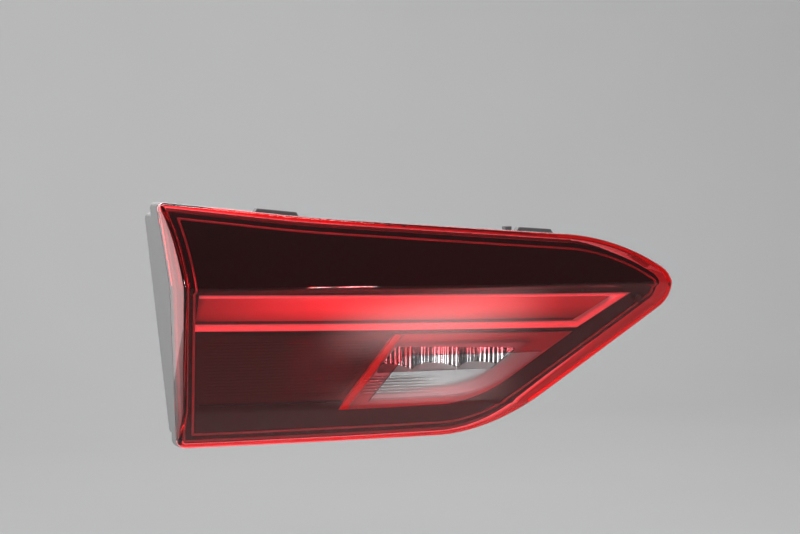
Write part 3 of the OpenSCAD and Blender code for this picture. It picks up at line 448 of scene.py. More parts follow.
def soft_step(v, start, end):
    """From 0 at the start to 1 at the end, as 3 s squared less 2 s cubed."""
    s = np.clip((v - start) / (end - start), 0, 1)
    return s * s * (3 - 2 * s)


# Outlines of the parts behind the lens

def on_bar(along_bar, up):
    """A point at a distance along the bar's top edge and at a height above it."""
    a = math.radians(-BAR_FALL)
    return (BAR_X + along_bar * math.cos(a) - up * math.sin(a),
            -BAR_DROP + along_bar * math.sin(a) + up * math.cos(a))


bar_length = BAR_TIP - BAR_X
bar_corners = [
    (*on_bar(0, -BAR_H), 0),
    (*on_bar(bar_length - BAR_H / math.tan(math.radians(BAR_SLANT)), -BAR_H), 0),
    (*on_bar(bar_length, 0), 0),
    (*on_bar(0, 0), 0)]
guide_inner = inset(bar_corners, [GUIDE_BOTTOM, GUIDE_END, GUIDE_TOP, 0])
diffuser_corners = inset(bar_corners, [GUIDE_BOTTOM + 2, GUIDE_END + 2, GUIDE_TOP + 0.2, 0])

bar_line = (np.array([BAR_X, -BAR_DROP]), direction(-BAR_FALL))
row_line = (np.array([BAR_X, -BAR_DROP - BAR_H - BAR_GAP]), direction(-BAR_FALL))
divider_line = (np.array([DIVIDER_X, 0.0]), direction(-90 - DIVIDER_LEAN))
fog_left_line = (np.array([FOG_X, 0.0]), direction(-90 + CUT_DEGREES))
fog_foot_line = (np.array([0.0, -FOG_DROP]), direction(0))
low_line = (np.array([0.0, BELOW]), direction(0))
far_line = (np.array([FAR, 0.0]), direction(90))
window_line = (np.array([WINDOW_X, 0.0]), direction(-90 - WINDOW_LEAN))
window_top_line = (np.array([0.0, -WINDOW_DROP]), direction(0))

fog_corners = inset([
    (*meet(fog_left_line, fog_foot_line), SOFT_CORNER),
    (*meet(divider_line, fog_foot_line), SOFT_CORNER),
    (*meet(divider_line, row_line), SOFT_CORNER),
    (*meet(fog_left_line, row_line), SOFT_CORNER)], [0, CLEARANCE, 0, 0])
window_corners = [
    (*meet(window_line, low_line), 0),
    (FAR, BELOW, 0),
    (FAR, -WINDOW_DROP, 0),
    (*meet(window_line, window_top_line), 0)]
mirror_corners = [
    (8, -55.8, SOFT_CORNER),
    (90.5, -55.0, SOFT_CORNER),
    (107, -41.6, SOFT_CORNER),
    (20, -38.8, SOFT_CORNER)]


def right_of_divider(from_divider, from_top):
    """The area to the right of the divider and below the bar, moved inwards from those two edges."""
    return inset([
        (*meet(divider_line, low_line), 0),
        (FAR, BELOW, 0),
        (FAR, meet(far_line, row_line)[1], 0),
        (*meet(divider_line, row_line), 0)], [0, 0, from_top, from_divider])


def area_prism(name, first, second):
    """The overlap of two outlines, run along Y."""
    one = prism(name, closed_path(first))
    other = prism(name + "_other", closed_path(second), -112, 12)
    cut(one, other, "INTERSECT")
    drop(other)
    return one


def reverse_prism(name, grow):
    return area_prism(name, inset(LENS_CORNERS, 22 - grow), right_of_divider(-grow, -grow))


def edge_fillet(radius, depth_of, steps=6):
    """Rounding from a face to a side wall: inset r(1 - sin a), depth r(1 - cos a) behind the face."""
    return [(radius * (1 - math.sin(a)), lambda z, a=a: depth_of(z) + radius * (1 - math.cos(a)))
            for a in np.linspace(0, math.pi / 2, steps)]


# Outer lens and clear window: one moulding in two colours

def lens_levels():
    inner = FACE[(FACE[:, 0] > -95) & (FACE[:, 0] < 48), 0]
    return np.unique(np.concatenate([np.arange(-100, 50, 2.5), inner]))


def make_lens(red, clear, weld_glow):
    """A wall behind the face y = sag(x) + face_depth(z), with rounded edges, and a tongue behind the seam.
    The window is what lies inside an inset of the outline, right of a leaning line and below a level one."""
    tongue_in = 1.9
    tongue_out = 3.9
    tongue_l = 4.0
    front_r = 1.6
    inner_r = 0.9

    def inner_foot(z):
        return np.maximum(seam_depth(z) - 0.5, face_depth(z) + LENS_WALL + inner_r)

    rounding = edge_fillet(front_r, face_depth)
    foot = [
        (0.0, lambda z: seam_depth(z) - 0.3),
        (0.3, seam_depth),
        (tongue_in, seam_depth),
        (tongue_in, lambda z: seam_depth(z) + tongue_l),
        (tongue_out, lambda z: seam_depth(z) + tongue_l),
        (tongue_out, inner_foot),
        (LENS_WALL, inner_foot)]
    inner = [(LENS_WALL + d, f) for d, f in edge_fillet(inner_r, lambda z: face_depth(z) + LENS_WALL)]
    # Between these rows lies the weld face, whose material carries a painted glow for the lens rim.
    weld_rows = (len(rounding), len(rounding) + len(foot) - 1)
    whole = cup("outer_lens_moulding", LENS_CORNERS, lens_levels(), rounding + foot + inner[::-1],
                [red, weld_glow], 110, weld_rows)
    cutter = area_prism("window_cutter", inset(LENS_CORNERS, WINDOW_INSET), window_corners)
    window = cut(whole, cutter, "INTERSECT", "clear_window_moulding")
    cut(whole, cutter, "DIFFERENCE")
    drop(cutter)
    window.data.materials.clear()
    window.data.materials.append(clear)
    return whole, window


# Gloss black bezel with its raised line

def bezel_levels():
    inner = BEZEL[(BEZEL[:, 0] > -92) & (BEZEL[:, 0] < 42), 0]
    return np.unique(np.round(np.concatenate([np.arange(-92, 42, 3.0), inner]), 4))


def make_bezel(black, silver):
    """A plate at y = sag(x) + bezel_depth(z), 1 mm deeper outside the line, with a skirt at its border. The
    line is half an ellipse over the step: depth - 0.4 - 0.6 sin a, over an inset of 9 + 0.65 (1 - cos a)."""
    border = 6.0
    skirt_in = 7.8

    def skirt_foot(z):
        return np.maximum(seam_depth(z) + 0.8, bezel_depth(z) + 3.4)

    profile = [
        (BEZEL_LINE_IN, bezel_depth),
        (BEZEL_LINE_OUT + 0.2, bezel_depth),
        (BEZEL_LINE_OUT, lambda z: bezel_depth(z) + 0.2),
        (BEZEL_LINE_OUT, lambda z: bezel_depth(z) + 0.8),
        (BEZEL_LINE_OUT - 0.2, lambda z: bezel_depth(z) + 1.0)]
    profile += [(border + d, f) for d, f in edge_fillet(0.6, lambda z: bezel_depth(z) + 1.0, 4)]
    profile += [
        (border, skirt_foot),
        (skirt_in, skirt_foot),
        (skirt_in, lambda z: bezel_depth(z) + 3.2),
        (BEZEL_LINE_IN, lambda z: bezel_depth(z) + BEZEL_T)]
    whole = cup("bezel_moulding", LENS_CORNERS, bezel_levels(), profile, [black], 100)
    cutters = [prism("bar_cutter", closed_path(inset(bar_corners, -CLEARANCE))),
               prism("fog_cutter", closed_path(inset(fog_corners, -CLEARANCE))),
               reverse_prism("reverse_cutter", CLEARANCE)]
    for cutter in cutters:
        cut(whole, cutter, "DIFFERENCE")
    drop(*cutters)
    loop = [(BEZEL_LINE_OUT + 0.65 - 0.65 * math.cos(a),
             lambda z, a=a: bezel_depth(z) - 0.4 - 0.6 * math.sin(a)) for a in np.linspace(0, math.pi, 9)]
    loop += [(inside, lambda z: bezel_depth(z) + 0.3) for inside in (BEZEL_LINE_IN, BEZEL_LINE_OUT)]
    loop += loop[:1]
    line = band_piece("bezel_line", LENS_CORNERS, bezel_levels(), loop, silver)
    return whole, line


# Light bar: guide and diffuser

def make_guide(material):
    """The guide's section, carried along the three runs of the bar: straight sides, a back, and a crowned
    face whose depth is 1.1 times |t| to the power 2.5, with t from -1 to 1 over its width."""
    steps = (120, 18, 100)
    outer = along(np.array([bar_corners[i][:2] for i in (3, 2, 1, 0)]), steps)
    inner = along(np.array([guide_inner[i][:2] for i in (3, 2, 1, 0)]), steps)
    crown = np.linspace(-1, 1, 11)
    share = np.concatenate([[0, 0], (crown + 1) / 2, [1, 1, 0]])
    depth = np.concatenate([[GUIDE_D, 4], 1.1 * crown ** 2 * np.abs(crown) ** 0.5, [4, GUIDE_D, GUIDE_D]])
    flat = outer[None] + (inner - outer)[None] * share[:, None, None]
    grid = placed(flat[..., 0], flat[..., 1], GUIDE_DEPTH + depth[:, None] + 0 * flat[..., 0])
    half = len(share) // 2
    caps = [np.stack([grid[:half, c], grid[:-half - 1:-1, c]], 1) for c in (0, -1)]
    return piece("light_guide_moulding", [(grid, True), (caps[0], False), (caps[1], True)], [material], 50)


def make_diffuser(material):
    """A plate whose face leans back a little towards its foot: depth grows by 1.3 s squared, where s runs
    from 0 near its top edge to 1 at a bar's height below."""
    x = np.linspace(BAR_X - 2, BAR_TIP, 90)
    z = np.linspace(-32, -4, 40)

    def front(gx, gz):
        share = np.clip((-inward(bar_line, gx, gz) - 2.2) / BAR_H, 0, 1)
        return GUIDE_DEPTH + 3.1 + 1.3 * share ** 2

    whole = sheet("diffuser_plate", x, z, front, lambda gx, gz: GUIDE_DEPTH + 5.5 + 0 * gx, material)
    cutter = prism("diffuser_cutter", closed_path(diffuser_corners))
    cut(whole, cutter, "INTERSECT")
    drop(cutter)
    return whole


# Fog lens with its ribs

def edge_distance(corners, x, z):
    """Least distance inwards from the straight edges of an outline."""
    points = np.array([c[:2] for c in corners])
    after = np.roll(points, -1, 0)
    return np.min([inward((p, unit(q - p)), x, z) for p, q in zip(points, after)], 0)


def half_round(z, pitch):
    """Ribs of half-round section: the square root of 1 - t squared over each pitch."""
    t = 2 * (z / pitch - np.floor(z / pitch)) - 1
    return np.sqrt(np.clip(1 - t * t, 0, 1))


def make_fog_lens(material):
    """A plate 2 mm behind the bezel's face, with half-round ribs from a plain border inwards."""
    pitch = 2.0
    height = 0.6
    x = np.linspace(-127, 40, 70)
    z = np.arange(-FOG_DROP - 2, -27, pitch / 8)

    def front(gx, gz):
        mask = soft_step(edge_distance(fog_corners, gx, gz), 4, 5)
        return bezel_depth(gz) + 2 - height * mask * half_round(gz, pitch)

    whole = sheet("fog_lens_moulding", x, z, front, lambda gx, gz: bezel_depth(gz) + 4.4, material, 60)
    cutter = prism("fog_lens_cutter", closed_path(fog_corners))
    cut(whole, cutter, "INTERSECT", smooth_angle=60)
    drop(cutter)
    return whole


# Reversing light: satin bezel and fluted reflector

def polygon_values(mesh, kind):
    """The centres or the normals of a mesh's polygons, one row for each."""
    values = np.empty(len(mesh.polygons) * 3, np.float32)
    mesh.polygons.foreach_get(kind, values)
    return values.reshape(-1, 3)


def second_finish(made, material, chosen):
    """A second material for the polygons that a mask chooses."""
    made.data.materials.append(material)
    made.data.polygons.foreach_set("material_index", chosen.astype(np.int32))


def make_reverse_bezel(material, divider_material):
    """A plate at the bezel's face, raised by 1.5 mm in a band along the divider, with half-round ribs on a
    ledge that fades out to the right. The band has a finish of its own."""
    pitch = 2.0
    band_end = DIVIDER_BAND + 0.9
    x = np.unique(np.concatenate([np.linspace(-40, 176, 120), np.linspace(-2, 62, 60)]))
    z = np.unique(np.concatenate([np.arange(-96, -28, 2.0), np.arange(-71, -56, pitch / 8)]))

    def front(gx, gz):
        raised = 1.5 * (1 - soft_step(inward(divider_line, gx, gz), DIVIDER_BAND - 0.3, band_end))
        ledge = (soft_step(gx, 0.5, 2) * (1 - soft_step(gx, 15, 60)) * soft_step(gz, -70, -69)
                 * (1 - soft_step(gz, -58.5, -57.5)))
        return bezel_depth(gz) - raised - 0.6 * ledge * half_round(gz, pitch)

    def rear(gx, gz):
        return bezel_depth(gz) + BEZEL_T

    whole = sheet("reverse_bezel_moulding", x, z, front, rear, material, 50)
    area = reverse_prism("reverse_area", 0)
    cut(whole, area, "INTERSECT", smooth_angle=50)
    opening = prism("mirror_cutter", closed_path(mirror_corners))
    cut(whole, opening, "DIFFERENCE", smooth_angle=50)
    drop(area, opening)
    middles = polygon_values(whole.data, "center") / MM
    second_finish(whole, divider_material, inward(divider_line, middles[:, 0], middles[:, 2]) < band_end)
    return whole


def make_reflector(material, painted_reflection_floor):
    """Three scallops with upright flutes over a floor that rises to the back. In plan the wall is
    y = back - R + (R + flute) cos a, with the flute's depth half a sine over each flute."""
    left = 8.0
    cell_w = 32.5
    cells = 3
    cell_sag = 9.0
    flutes = 12
    back = -27.0
    wall = 1.8
    top = -37.5
    foot = -55.8
    front_y = -58.0
    floor_front = -38.0
    rise = math.tan(math.radians(20))
    ends = 8
    divider_lean = math.radians(DIVIDER_LEAN)
    radius = (cell_w ** 2 / 4 + cell_sag ** 2) / (2 * cell_sag)
    half = math.asin(cell_w / 2 / radius)
    share = np.linspace(-1, 1, flutes * 8 + 1)
    flute = 0.5 * np.abs(np.sin(math.pi * flutes * (share + 1) / 2))
    x_parts, y_parts, back_parts = [], [], []
    for c in range(cells):
        x_parts.append(left + (c + 0.5) * cell_w + (radius + flute) * np.sin(half * share))
        y_parts.append(back - wall - radius + (radius + flute) * np.cos(half * share))
        back_parts.append(back - radius + radius * np.cos(half * share))
    right = left + cells * cell_w
    cusp = back - wall - cell_sag
    end_y = front_y + (cusp - front_y) * np.linspace(0, 1, ends, endpoint=False)
    x = np.concatenate([np.full(ends, left)] + x_parts + [np.full(ends, right)])
    y = np.concatenate([end_y] + y_parts + [end_y[::-1]])
    y_back = np.concatenate([y[:ends] + 1.0] + back_parts + [y[-ends:] + 1.0])
    x_back = np.concatenate([x[:ends] - wall, x[ends:-ends], x[-ends:] + wall])

    def floor_height(py, thick):
        return foot - thick + np.maximum(py - floor_front, 0) * rise

    def rows(px, py, thick):
        drop_share = np.linspace(0, 1, 10)[:, None]
        wall_z = top + (floor_height(py, thick) - top) * drop_share
        wall_rows = np.stack([px + 0 * wall_z, py + 0 * wall_z, wall_z], -1)
        run = np.linspace(0, 1, 13)[1:, None]
        front_edge = -LAMP_DEPTH + sag(px) + bezel_depth(np.full(px.shape, foot)) + BEZEL_T
        floor_y = py + (np.minimum(front_edge, py) - py) * run
        floor_rows = np.stack([px + 0 * floor_y, floor_y, floor_height(floor_y, thick)], -1)
        both = np.concatenate([wall_rows, floor_rows])
        least = DIVIDER_X + both[..., 2] * math.tan(divider_lean) + (2.4 - thick) / math.cos(divider_lean)
        both[..., 0] = np.maximum(both[..., 0], least)
        face = -LAMP_DEPTH + sag(both[..., 0]) + bezel_depth(both[..., 2]) + BEZEL_T
        both[..., 1] = np.maximum(both[..., 1], face)
        return both

    made = shell("reverse_reflector_shell", rows(x, y, 0)[::-1], rows(x_back, y_back, wall)[::-1],
                 material, 40)
    # Upward faces take the pale material, a painted reflection of the light on the floor.
    second_finish(made, painted_reflection_floor, polygon_values(made.data, "normal")[:, 2] > 0.7)
    return made


# Shared effects, as node groups

def group_of(name, inputs, outputs):
    made = bpy.data.node_groups.new(name, "ShaderNodeTree")
    for label, kind, value in inputs:
        socket = made.interface.new_socket(label, in_out="INPUT", socket_type=kind)
        if value is not None:
            socket.default_value = value
    for label in outputs:
        made.interface.new_socket(label, in_out="OUTPUT", socket_type="NodeSocketFloat")
    return made, made.nodes.new("NodeGroupInput"), made.nodes.new("NodeGroupOutput")


def node(tree, kind, **values):
    made = tree.nodes.new(kind)
    for key, value in values.items():
        setattr(made, key, value)
    return made


def noise(tree, place, detail, roughness=0.5):
    made = node(tree, "ShaderNodeTexNoise")
    made.inputs["Detail"].default_value = detail
    made.inputs["Roughness"].default_value = roughness
    tree.links.new(place, made.inputs["Vector"])
    return made


def ramp(tree, value, start, end, low=0.0, high=1.0, way="LINEAR"):
    """A value mapped from start and end to low and high."""
    made = node(tree, "ShaderNodeMapRange", interpolation_type=way)
    for label, number in (("From Min", start), ("From Max", end), ("To Min", low), ("To Max", high)):
        made.inputs[label].default_value = number
    tree.links.new(value, made.inputs["Value"])
    return made.outputs["Result"]


def moulded_grain():
    """Fine grain of a mould and slow changes of tone: two noises, at the given scales."""
    made, inner, outer = group_of("moulded_grain", [
        ("Vector", "NodeSocketVector", None),
        ("Grain Scale", "NodeSocketFloat", 900.0),
        ("Tone Scale", "NodeSocketFloat", 14.0)], ["Height", "Tone"])
    grain = noise(made, inner.outputs["Vector"], 2)
    tone = noise(made, inner.outputs["Vector"], 3, 0.6)
    link = made.links.new
    link(inner.outputs["Grain Scale"], grain.inputs["Scale"])
    link(inner.outputs["Tone Scale"], tone.inputs["Scale"])
    link(grain.outputs["Fac"], outer.inputs["Height"])
    link(ramp(made, tone.outputs["Fac"], 0.3, 0.7), outer.inputs["Tone"])
    return made


def fine_wear():
    """Thin scratches along the part and specks of dust: a stretched noise and a sparse one."""
    made, inner, outer = group_of("fine_wear", [
        ("Vector", "NodeSocketVector", None),
        ("Speck Scale", "NodeSocketFloat", 420.0)], ["Scratch", "Speck"])
    stretch = node(made, "ShaderNodeMapping")
    stretch.inputs["Scale"].default_value = (30, 160, 900)
    stretch.inputs["Rotation"].default_value = (0, math.radians(4), 0)
    scratch = noise(made, stretch.outputs["Vector"], 4)
    scratch.inputs["Scale"].default_value = 1
    speck = noise(made, inner.outputs["Vector"], 1)
    link = made.links.new
    link(inner.outputs["Vector"], stretch.inputs["Vector"])
    link(inner.outputs["Speck Scale"], speck.inputs["Scale"])
    link(ramp(made, scratch.outputs["Fac"], 0.62, 0.75), outer.inputs["Scratch"])
    link(ramp(made, speck.outputs["Fac"], 0.72, 0.8), outer.inputs["Speck"])
    return made


GRAIN = moulded_grain()
WEAR = fine_wear()


# Materials

def base_material(name):
    """A material with a Principled BSDF, its tree, and the nodes for its output, shader and coordinates."""
    made = bpy.data.materials.new(name)
    made.use_nodes = True
    tree = made.node_tree
    tree.nodes.clear()
    output = node(tree, "ShaderNodeOutputMaterial")
    shader = node(tree, "ShaderNodeBsdfPrincipled")
    place = node(tree, "ShaderNodeTexCoord")
    tree.links.new(shader.outputs["BSDF"], output.inputs["Surface"])
    return made, tree, output, shader, place


def worn_roughness(tree, place, shader, rough):
    """Roughness between two values, from the scratches of the shared wear."""
    worn = node(tree, "ShaderNodeGroup", node_tree=WEAR)
    tree.links.new(place.outputs["Object"], worn.inputs["Vector"])
    tree.links.new(ramp(tree, worn.outputs["Scratch"], 0, 1, *rough), shader.inputs["Roughness"])


def moulded(name, colour, other, rough, grain=(900, 0.1, 0.00004), tone_scale=14, **plain):
    """A moulded or cast finish: two near tones, a range of roughness, and a fine grain as (scale, strength,
    height in metres). Further values go to the shader's own sockets."""
    made, tree, output, shader, place = base_material(name)
    link = tree.links.new
    grained = node(tree, "ShaderNodeGroup", node_tree=GRAIN)
    grained.inputs["Grain Scale"].default_value = grain[0]
    grained.inputs["Tone Scale"].default_value = tone_scale
    link(place.outputs["Object"], grained.inputs["Vector"])
    tones = node(tree, "ShaderNodeMix", data_type="RGBA")
    tones.inputs[6].default_value = (*colour, 1)
    tones.inputs[7].default_value = (*other, 1)
    link(grained.outputs["Tone"], tones.inputs[0])
    link(tones.outputs[2], shader.inputs["Base Color"])
    worn_roughness(tree, place, shader, rough)
    bump = node(tree, "ShaderNodeBump")
    bump.inputs["Strength"].default_value = grain[1]
    bump.inputs["Distance"].default_value = grain[2]
    link(grained.outputs["Height"], bump.inputs["Height"])
    link(bump.outputs["Normal"], shader.inputs["Normal"])
    for label, value in plain.items():
        shader.inputs[label.replace("_", " ")].default_value = value
    return made


def painted_shade_along_bar(material):
    """Painted shade on the light bar: its tint grows darker towards its foot and its two ends, over the
    part's own X and Z, so that its top middle looks most lit.
    """
    tree = material.node_tree
    link = tree.links.new
    shader = next(n for n in tree.nodes if n.type == "BSDF_PRINCIPLED")
    place = next(n for n in tree.nodes if n.type == "TEX_COORD")
    tinted = shader.inputs["Base Color"].links[0].from_socket
    axes = node(tree, "ShaderNodeSeparateXYZ")
    link(place.outputs["Object"], axes.inputs["Vector"])
    share = None
    for axis, start, end, low, high in (("X", -0.125, -0.02, 0.3, 1.0), ("X", 0.06, 0.165, 1.0, 0.45),
                                        ("Z", -0.025, -0.013, 0.25, 1.0)):
        part = ramp(tree, axes.outputs[axis], start, end, low, high, "SMOOTHSTEP")
        if share is None:
            share = part
            continue
        product = node(tree, "ShaderNodeMath", operation="MULTIPLY")
        link(share, product.inputs[0])
        link(part, product.inputs[1])
        share = product.outputs["Value"]
    # The painted shade: the tint goes towards near black where the share falls.
    shade_mix = node(tree, "ShaderNodeMix", data_type="RGBA")
    shade_mix.inputs[6].default_value = (0.03, 0.03, 0.03, 1)
    link(tinted, shade_mix.inputs[7])
    link(share, shade_mix.inputs[0])
    link(shade_mix.outputs[2], shader.inputs["Base Color"])


def lens_glass(name, per_metre):
    """A clear moulding that takes colour from its depth. Per metre is the absorption of red, green and blue.
    Shadow rays pass straight through it."""
    made, tree, output, shader, place = base_material(name)
    shader.inputs["Base Color"].default_value = (1, 1, 1, 1)
    shader.inputs["Transmission Weight"].default_value = 1
    shader.inputs["IOR"].default_value = 1.49
    shader.inputs["Specular IOR Level"].default_value = 0.32
    worn_roughness(tree, place, shader, (0.01, 0.05))
    passing = node(tree, "ShaderNodeBsdfTransparent")
    passing.inputs["Color"].default_value = (0.92, 0.92, 0.92, 1)
    light = node(tree, "ShaderNodeLightPath")
    both = node(tree, "ShaderNodeMixShader")
    link = tree.links.new
    link(light.outputs["Is Shadow Ray"], both.inputs[0])
    link(shader.outputs["BSDF"], both.inputs[1])
    link(passing.outputs["BSDF"], both.inputs[2])
    link(both.outputs["Shader"], output.inputs["Surface"])
    inside = node(tree, "ShaderNodeVolumeAbsorption")
    density = max(per_metre)
    inside.inputs["Density"].default_value = density
    inside.inputs["Color"].default_value = (*[1 - v / density for v in per_metre], 1)
    link(inside.outputs["Volume"], output.inputs["Volume"])
    return made


RED_ABSORPTION = (14.0, 580.0, 540.0)
red_lens = lens_glass("red_lens_plastic", RED_ABSORPTION)
clear_lens = lens_glass("clear_lens_plastic", (2.0, 2.0, 3.0))
# Whitish matt weld face; its emission is a painted glow, standing in for the light that the red lens carries
# round to its rim.
weld_face_painted_glow = moulded("weld_face_painted_glow", (0.8, 0.8, 0.8), (0.7, 0.7, 0.71), (0.4, 0.6),
                    Emission_Color=(1, 1, 1, 1), Emission_Strength=0.4)
gloss_black = moulded("gloss_black_plastic", (0.005, 0.005, 0.0055), (0.008, 0.0075, 0.008), (0.1, 0.2),
                      grain=(500, 0.02, 0.00002), Specular_IOR_Level=0.3)
satin_silver = moulded("satin_silver_paint", (0.34, 0.34, 0.345), (0.39, 0.39, 0.395), (0.3, 0.4),
                       grain=(1400, 0.15, 0.00003), Metallic=1.0)
divider_red = moulded("divider_red_paint", (0.42, 0.008, 0.01), (0.5, 0.012, 0.014), (0.3, 0.4))
line_silver = moulded("line_silver_paint", (0.3, 0.3, 0.31), (0.36, 0.36, 0.37), (0.3, 0.4),
                      grain=(1400, 0.15, 0.00003), Metallic=0.5)
# Pale, hardly metallic material for the reflector's upward faces: a painted reflection in place of chrome,
# standing in for the light that lies on its floor.
floor_painted_reflection = moulded("reflector_floor_painted_reflection", (0.72, 0.72, 0.73), (0.8, 0.8, 0.81), (0.3, 0.4),
                       Metallic=0.1)
mirror_silver = moulded("mirror_silver_coat", (0.36, 0.36, 0.37), (0.42, 0.42, 0.43), (0.16, 0.24),
                        grain=(120, 0.04, 0.0001), Metallic=1.0)
# The guide's emission is a painted glow: no lamp lights the bar from inside.
guide_painted_glow = moulded("guide_plastic", (0.86, 0.86, 0.86), (0.8, 0.8, 0.81), (0.12, 0.2), Coat_Weight=0.4,
                      Emission_Color=(1, 1, 1, 1), Emission_Strength=0.22)
diffuser_white = moulded("diffuser_plastic", (0.86, 0.86, 0.86), (0.82, 0.82, 0.82), (0.35, 0.45),
                         grain=(1600, 0.2, 0.00004))
# The diffuser's colour carries painted shade, darker towards the foot and the ends of the bar.
painted_shade_along_bar(diffuser_white)
fog_red = moulded("fog_lens_plastic", (0.012, 0.002, 0.0025), (0.018, 0.003, 0.0035), (0.06, 0.12),
                  grain=(300, 0.02, 0.00004), Specular_IOR_Level=0.7)
board_white = moulded("light_board", (0.78, 0.79, 0.78), (0.7, 0.71, 0.7), (0.3, 0.45),
                      grain=(260, 0.2, 0.0001))
housing_grey = moulded("housing_plastic", (0.22, 0.22, 0.223), (0.25, 0.25, 0.253), (0.45, 0.6),
                       grain=(1300, 0.25, 0.00008))
seal_dark = moulded("sealing_bead", (0.02, 0.02, 0.021), (0.035, 0.034, 0.034), (0.5, 0.7),
                    grain=(400, 0.3, 0.0001))
rubber = moulded("soft_seal_rubber", (0.018, 0.018, 0.018), (0.03, 0.03, 0.03), (0.65, 0.85),
                 grain=(700, 0.4, 0.0002))
cover_black = moulded("cover_plastic", (0.03, 0.03, 0.032), (0.045, 0.045, 0.047), (0.35, 0.5),
                      grain=(1100, 0.3, 0.0001))
holder_black = moulded("holder_plastic", (0.035, 0.035, 0.037), (0.05, 0.05, 0.052), (0.4, 0.55),
                       grain=(900, 0.3, 0.0001))
trough_grey = moulded("trough_plastic", (0.05, 0.05, 0.052), (0.07, 0.07, 0.07), (0.35, 0.5))
board_green = moulded("circuit_board", (0.012, 0.1, 0.035), (0.02, 0.14, 0.05), (0.25, 0.4),
                      grain=(260, 0.3, 0.0001))
light_yellow = moulded("light_source", (0.85, 0.75, 0.3), (0.9, 0.82, 0.45), (0.2, 0.3))
bulb_clear = lens_glass("bulb_glass", (1.0, 1.0, 1.0))
chip_black = moulded("chip_plastic", (0.02, 0.02, 0.022), (0.04, 0.04, 0.04), (0.4, 0.55))
contact_tin = moulded("contact_metal", (0.8, 0.72, 0.5), (0.86, 0.8, 0.62), (0.2, 0.35), Metallic=1.0)
dark_steel = moulded("dark_steel", (0.05, 0.05, 0.05), (0.08, 0.08, 0.08), (0.3, 0.4), Metallic=0.8)
zinc = moulded("zinc_steel", (0.55, 0.56, 0.57), (0.68, 0.68, 0.66), (0.28, 0.45),
               grain=(600, 0.2, 0.00006), tone_scale=180, Metallic=1.0)
floor_paint = moulded("floor_paint", (0.80, 0.80, 0.80), (0.82, 0.82, 0.82), (0.6, 0.8), tone_scale=2)

# Pieces

lens_piece, window_piece = make_lens(red_lens, clear_lens, weld_face_painted_glow)
bezel_piece, line_piece = make_bezel(gloss_black, line_silver)
guide_piece = make_guide(guide_painted_glow)
diffuser_piece = make_diffuser(diffuser_white)
fog_piece = make_fog_lens(fog_red)
reverse_piece = make_reverse_bezel(satin_silver, divider_red)
reflector_piece = make_reflector(mirror_silver, floor_painted_reflection)

STANDS_FOR = [
    (lens_piece, ["outer_lens"], "red_lens"),
    (window_piece, ["clear_window"], "clear_lens"),
    (bezel_piece, ["bezel"], "gloss_black"),
    (line_piece, [], "satin_bezel"),
    (guide_piece, ["bar_light_guide"], "guide_plastic"),
    (diffuser_piece, ["bar_diffuser"], "diffuser_plastic"),
    (fog_piece, ["fog_lens"], "fog_lens_red"),
    (reverse_piece, ["reverse_bezel"], "satin_bezel"),
    (reflector_piece, ["reverse_reflector"], "mirror_coat")]
for made, names, slot_name in STANDS_FOR:
    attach(made, "root")
    if names:
        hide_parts(*names)

FINISHES = {
    "housing": housing_grey, "lens_seal": seal_dark, "bar_trough": trough_grey,
    "bar_led_board": board_green, "bar_leds": light_yellow, "fog_reflector": mirror_silver,
    "fog_bulb": bulb_clear, "fog_bulb_holder": holder_black, "fog_holder_seal": rubber,
    "reverse_led_board": board_white, "reverse_leds": light_yellow, "driver_board": board_green,
    "driver_parts": chip_black, "driver_cover": cover_black, "driver_cover_seal": rubber,
    "driver_cover_screws": zinc, "connector_pins": contact_tin, "vent_cap": holder_black,
    "rear_gasket": rubber, "main_stud": zinc, "tip_stud": zinc, "lower_stud": zinc,
    "bezel_screw": dark_steel, "trough_screws": zinc}
for name, finish in FINISHES.items():
    for held in nodes[name].material_slots:
        held.material = finish


# Floor and backdrop, in one sweep

def make_sweep():
    """A floor that turns up into a wall on a quarter circle, run along X. Lengths here are in metres."""
    floor_z = -0.34
    wall_y = 3.0
    bend = 0.9
    turn = np.linspace(0, math.pi / 2, 24)
    y = np.concatenate([[-4.0], wall_y - bend + bend * np.sin(turn), [wall_y]])
    z = np.concatenate([[floor_z], floor_z + bend - bend * np.cos(turn), [3.5]])
    x = np.linspace(-5, 5, 3)
    grid = np.stack([np.repeat(x[None], len(y), 0), np.repeat(y[:, None], len(x), 1),
                     np.repeat(z[:, None], len(x), 1)], -1)
    return piece("floor_sweep", [(grid / MM, False)], [floor_paint])


make_sweep()

# Camera: to the left of the lamp and a little above it, with a small roll

TURN = math.radians(24)
RISE = math.radians(3)
ROLL = math.radians(0.62)
AWAY = 1.6
FOCAL_PIXELS = 2580.6
PICTURE_PIXELS = 800
SENSOR_WIDTH = 36
target = np.array([0.015, -0.074, 0.0116])
back = np.array([-math.sin(TURN) * math.cos(RISE), -math.cos(TURN) * math.cos(RISE), math.sin(RISE)])
level = unit(np.cross(-back, [0, 0, 1]))
upright = np.cross(level, -back)
place = np.eye(4)
place[:3, 0] = level * math.cos(ROLL) + upright * math.sin(ROLL)
place[:3, 1] = upright * math.cos(ROLL) - level * math.sin(ROLL)
place[:3, 2] = back
place[:3, 3] = target + back * AWAY
eye = bpy.data.cameras.new("camera")
eye.lens = FOCAL_PIXELS * SENSOR_WIDTH / PICTURE_PIXELS
camera = bpy.data.objects.new("camera", eye)
bpy.context.scene.collection.objects.link(camera)
camera.matrix_world = mathutils.Matrix(place.tolist())
bpy.context.scene.camera = camera


# Lamps

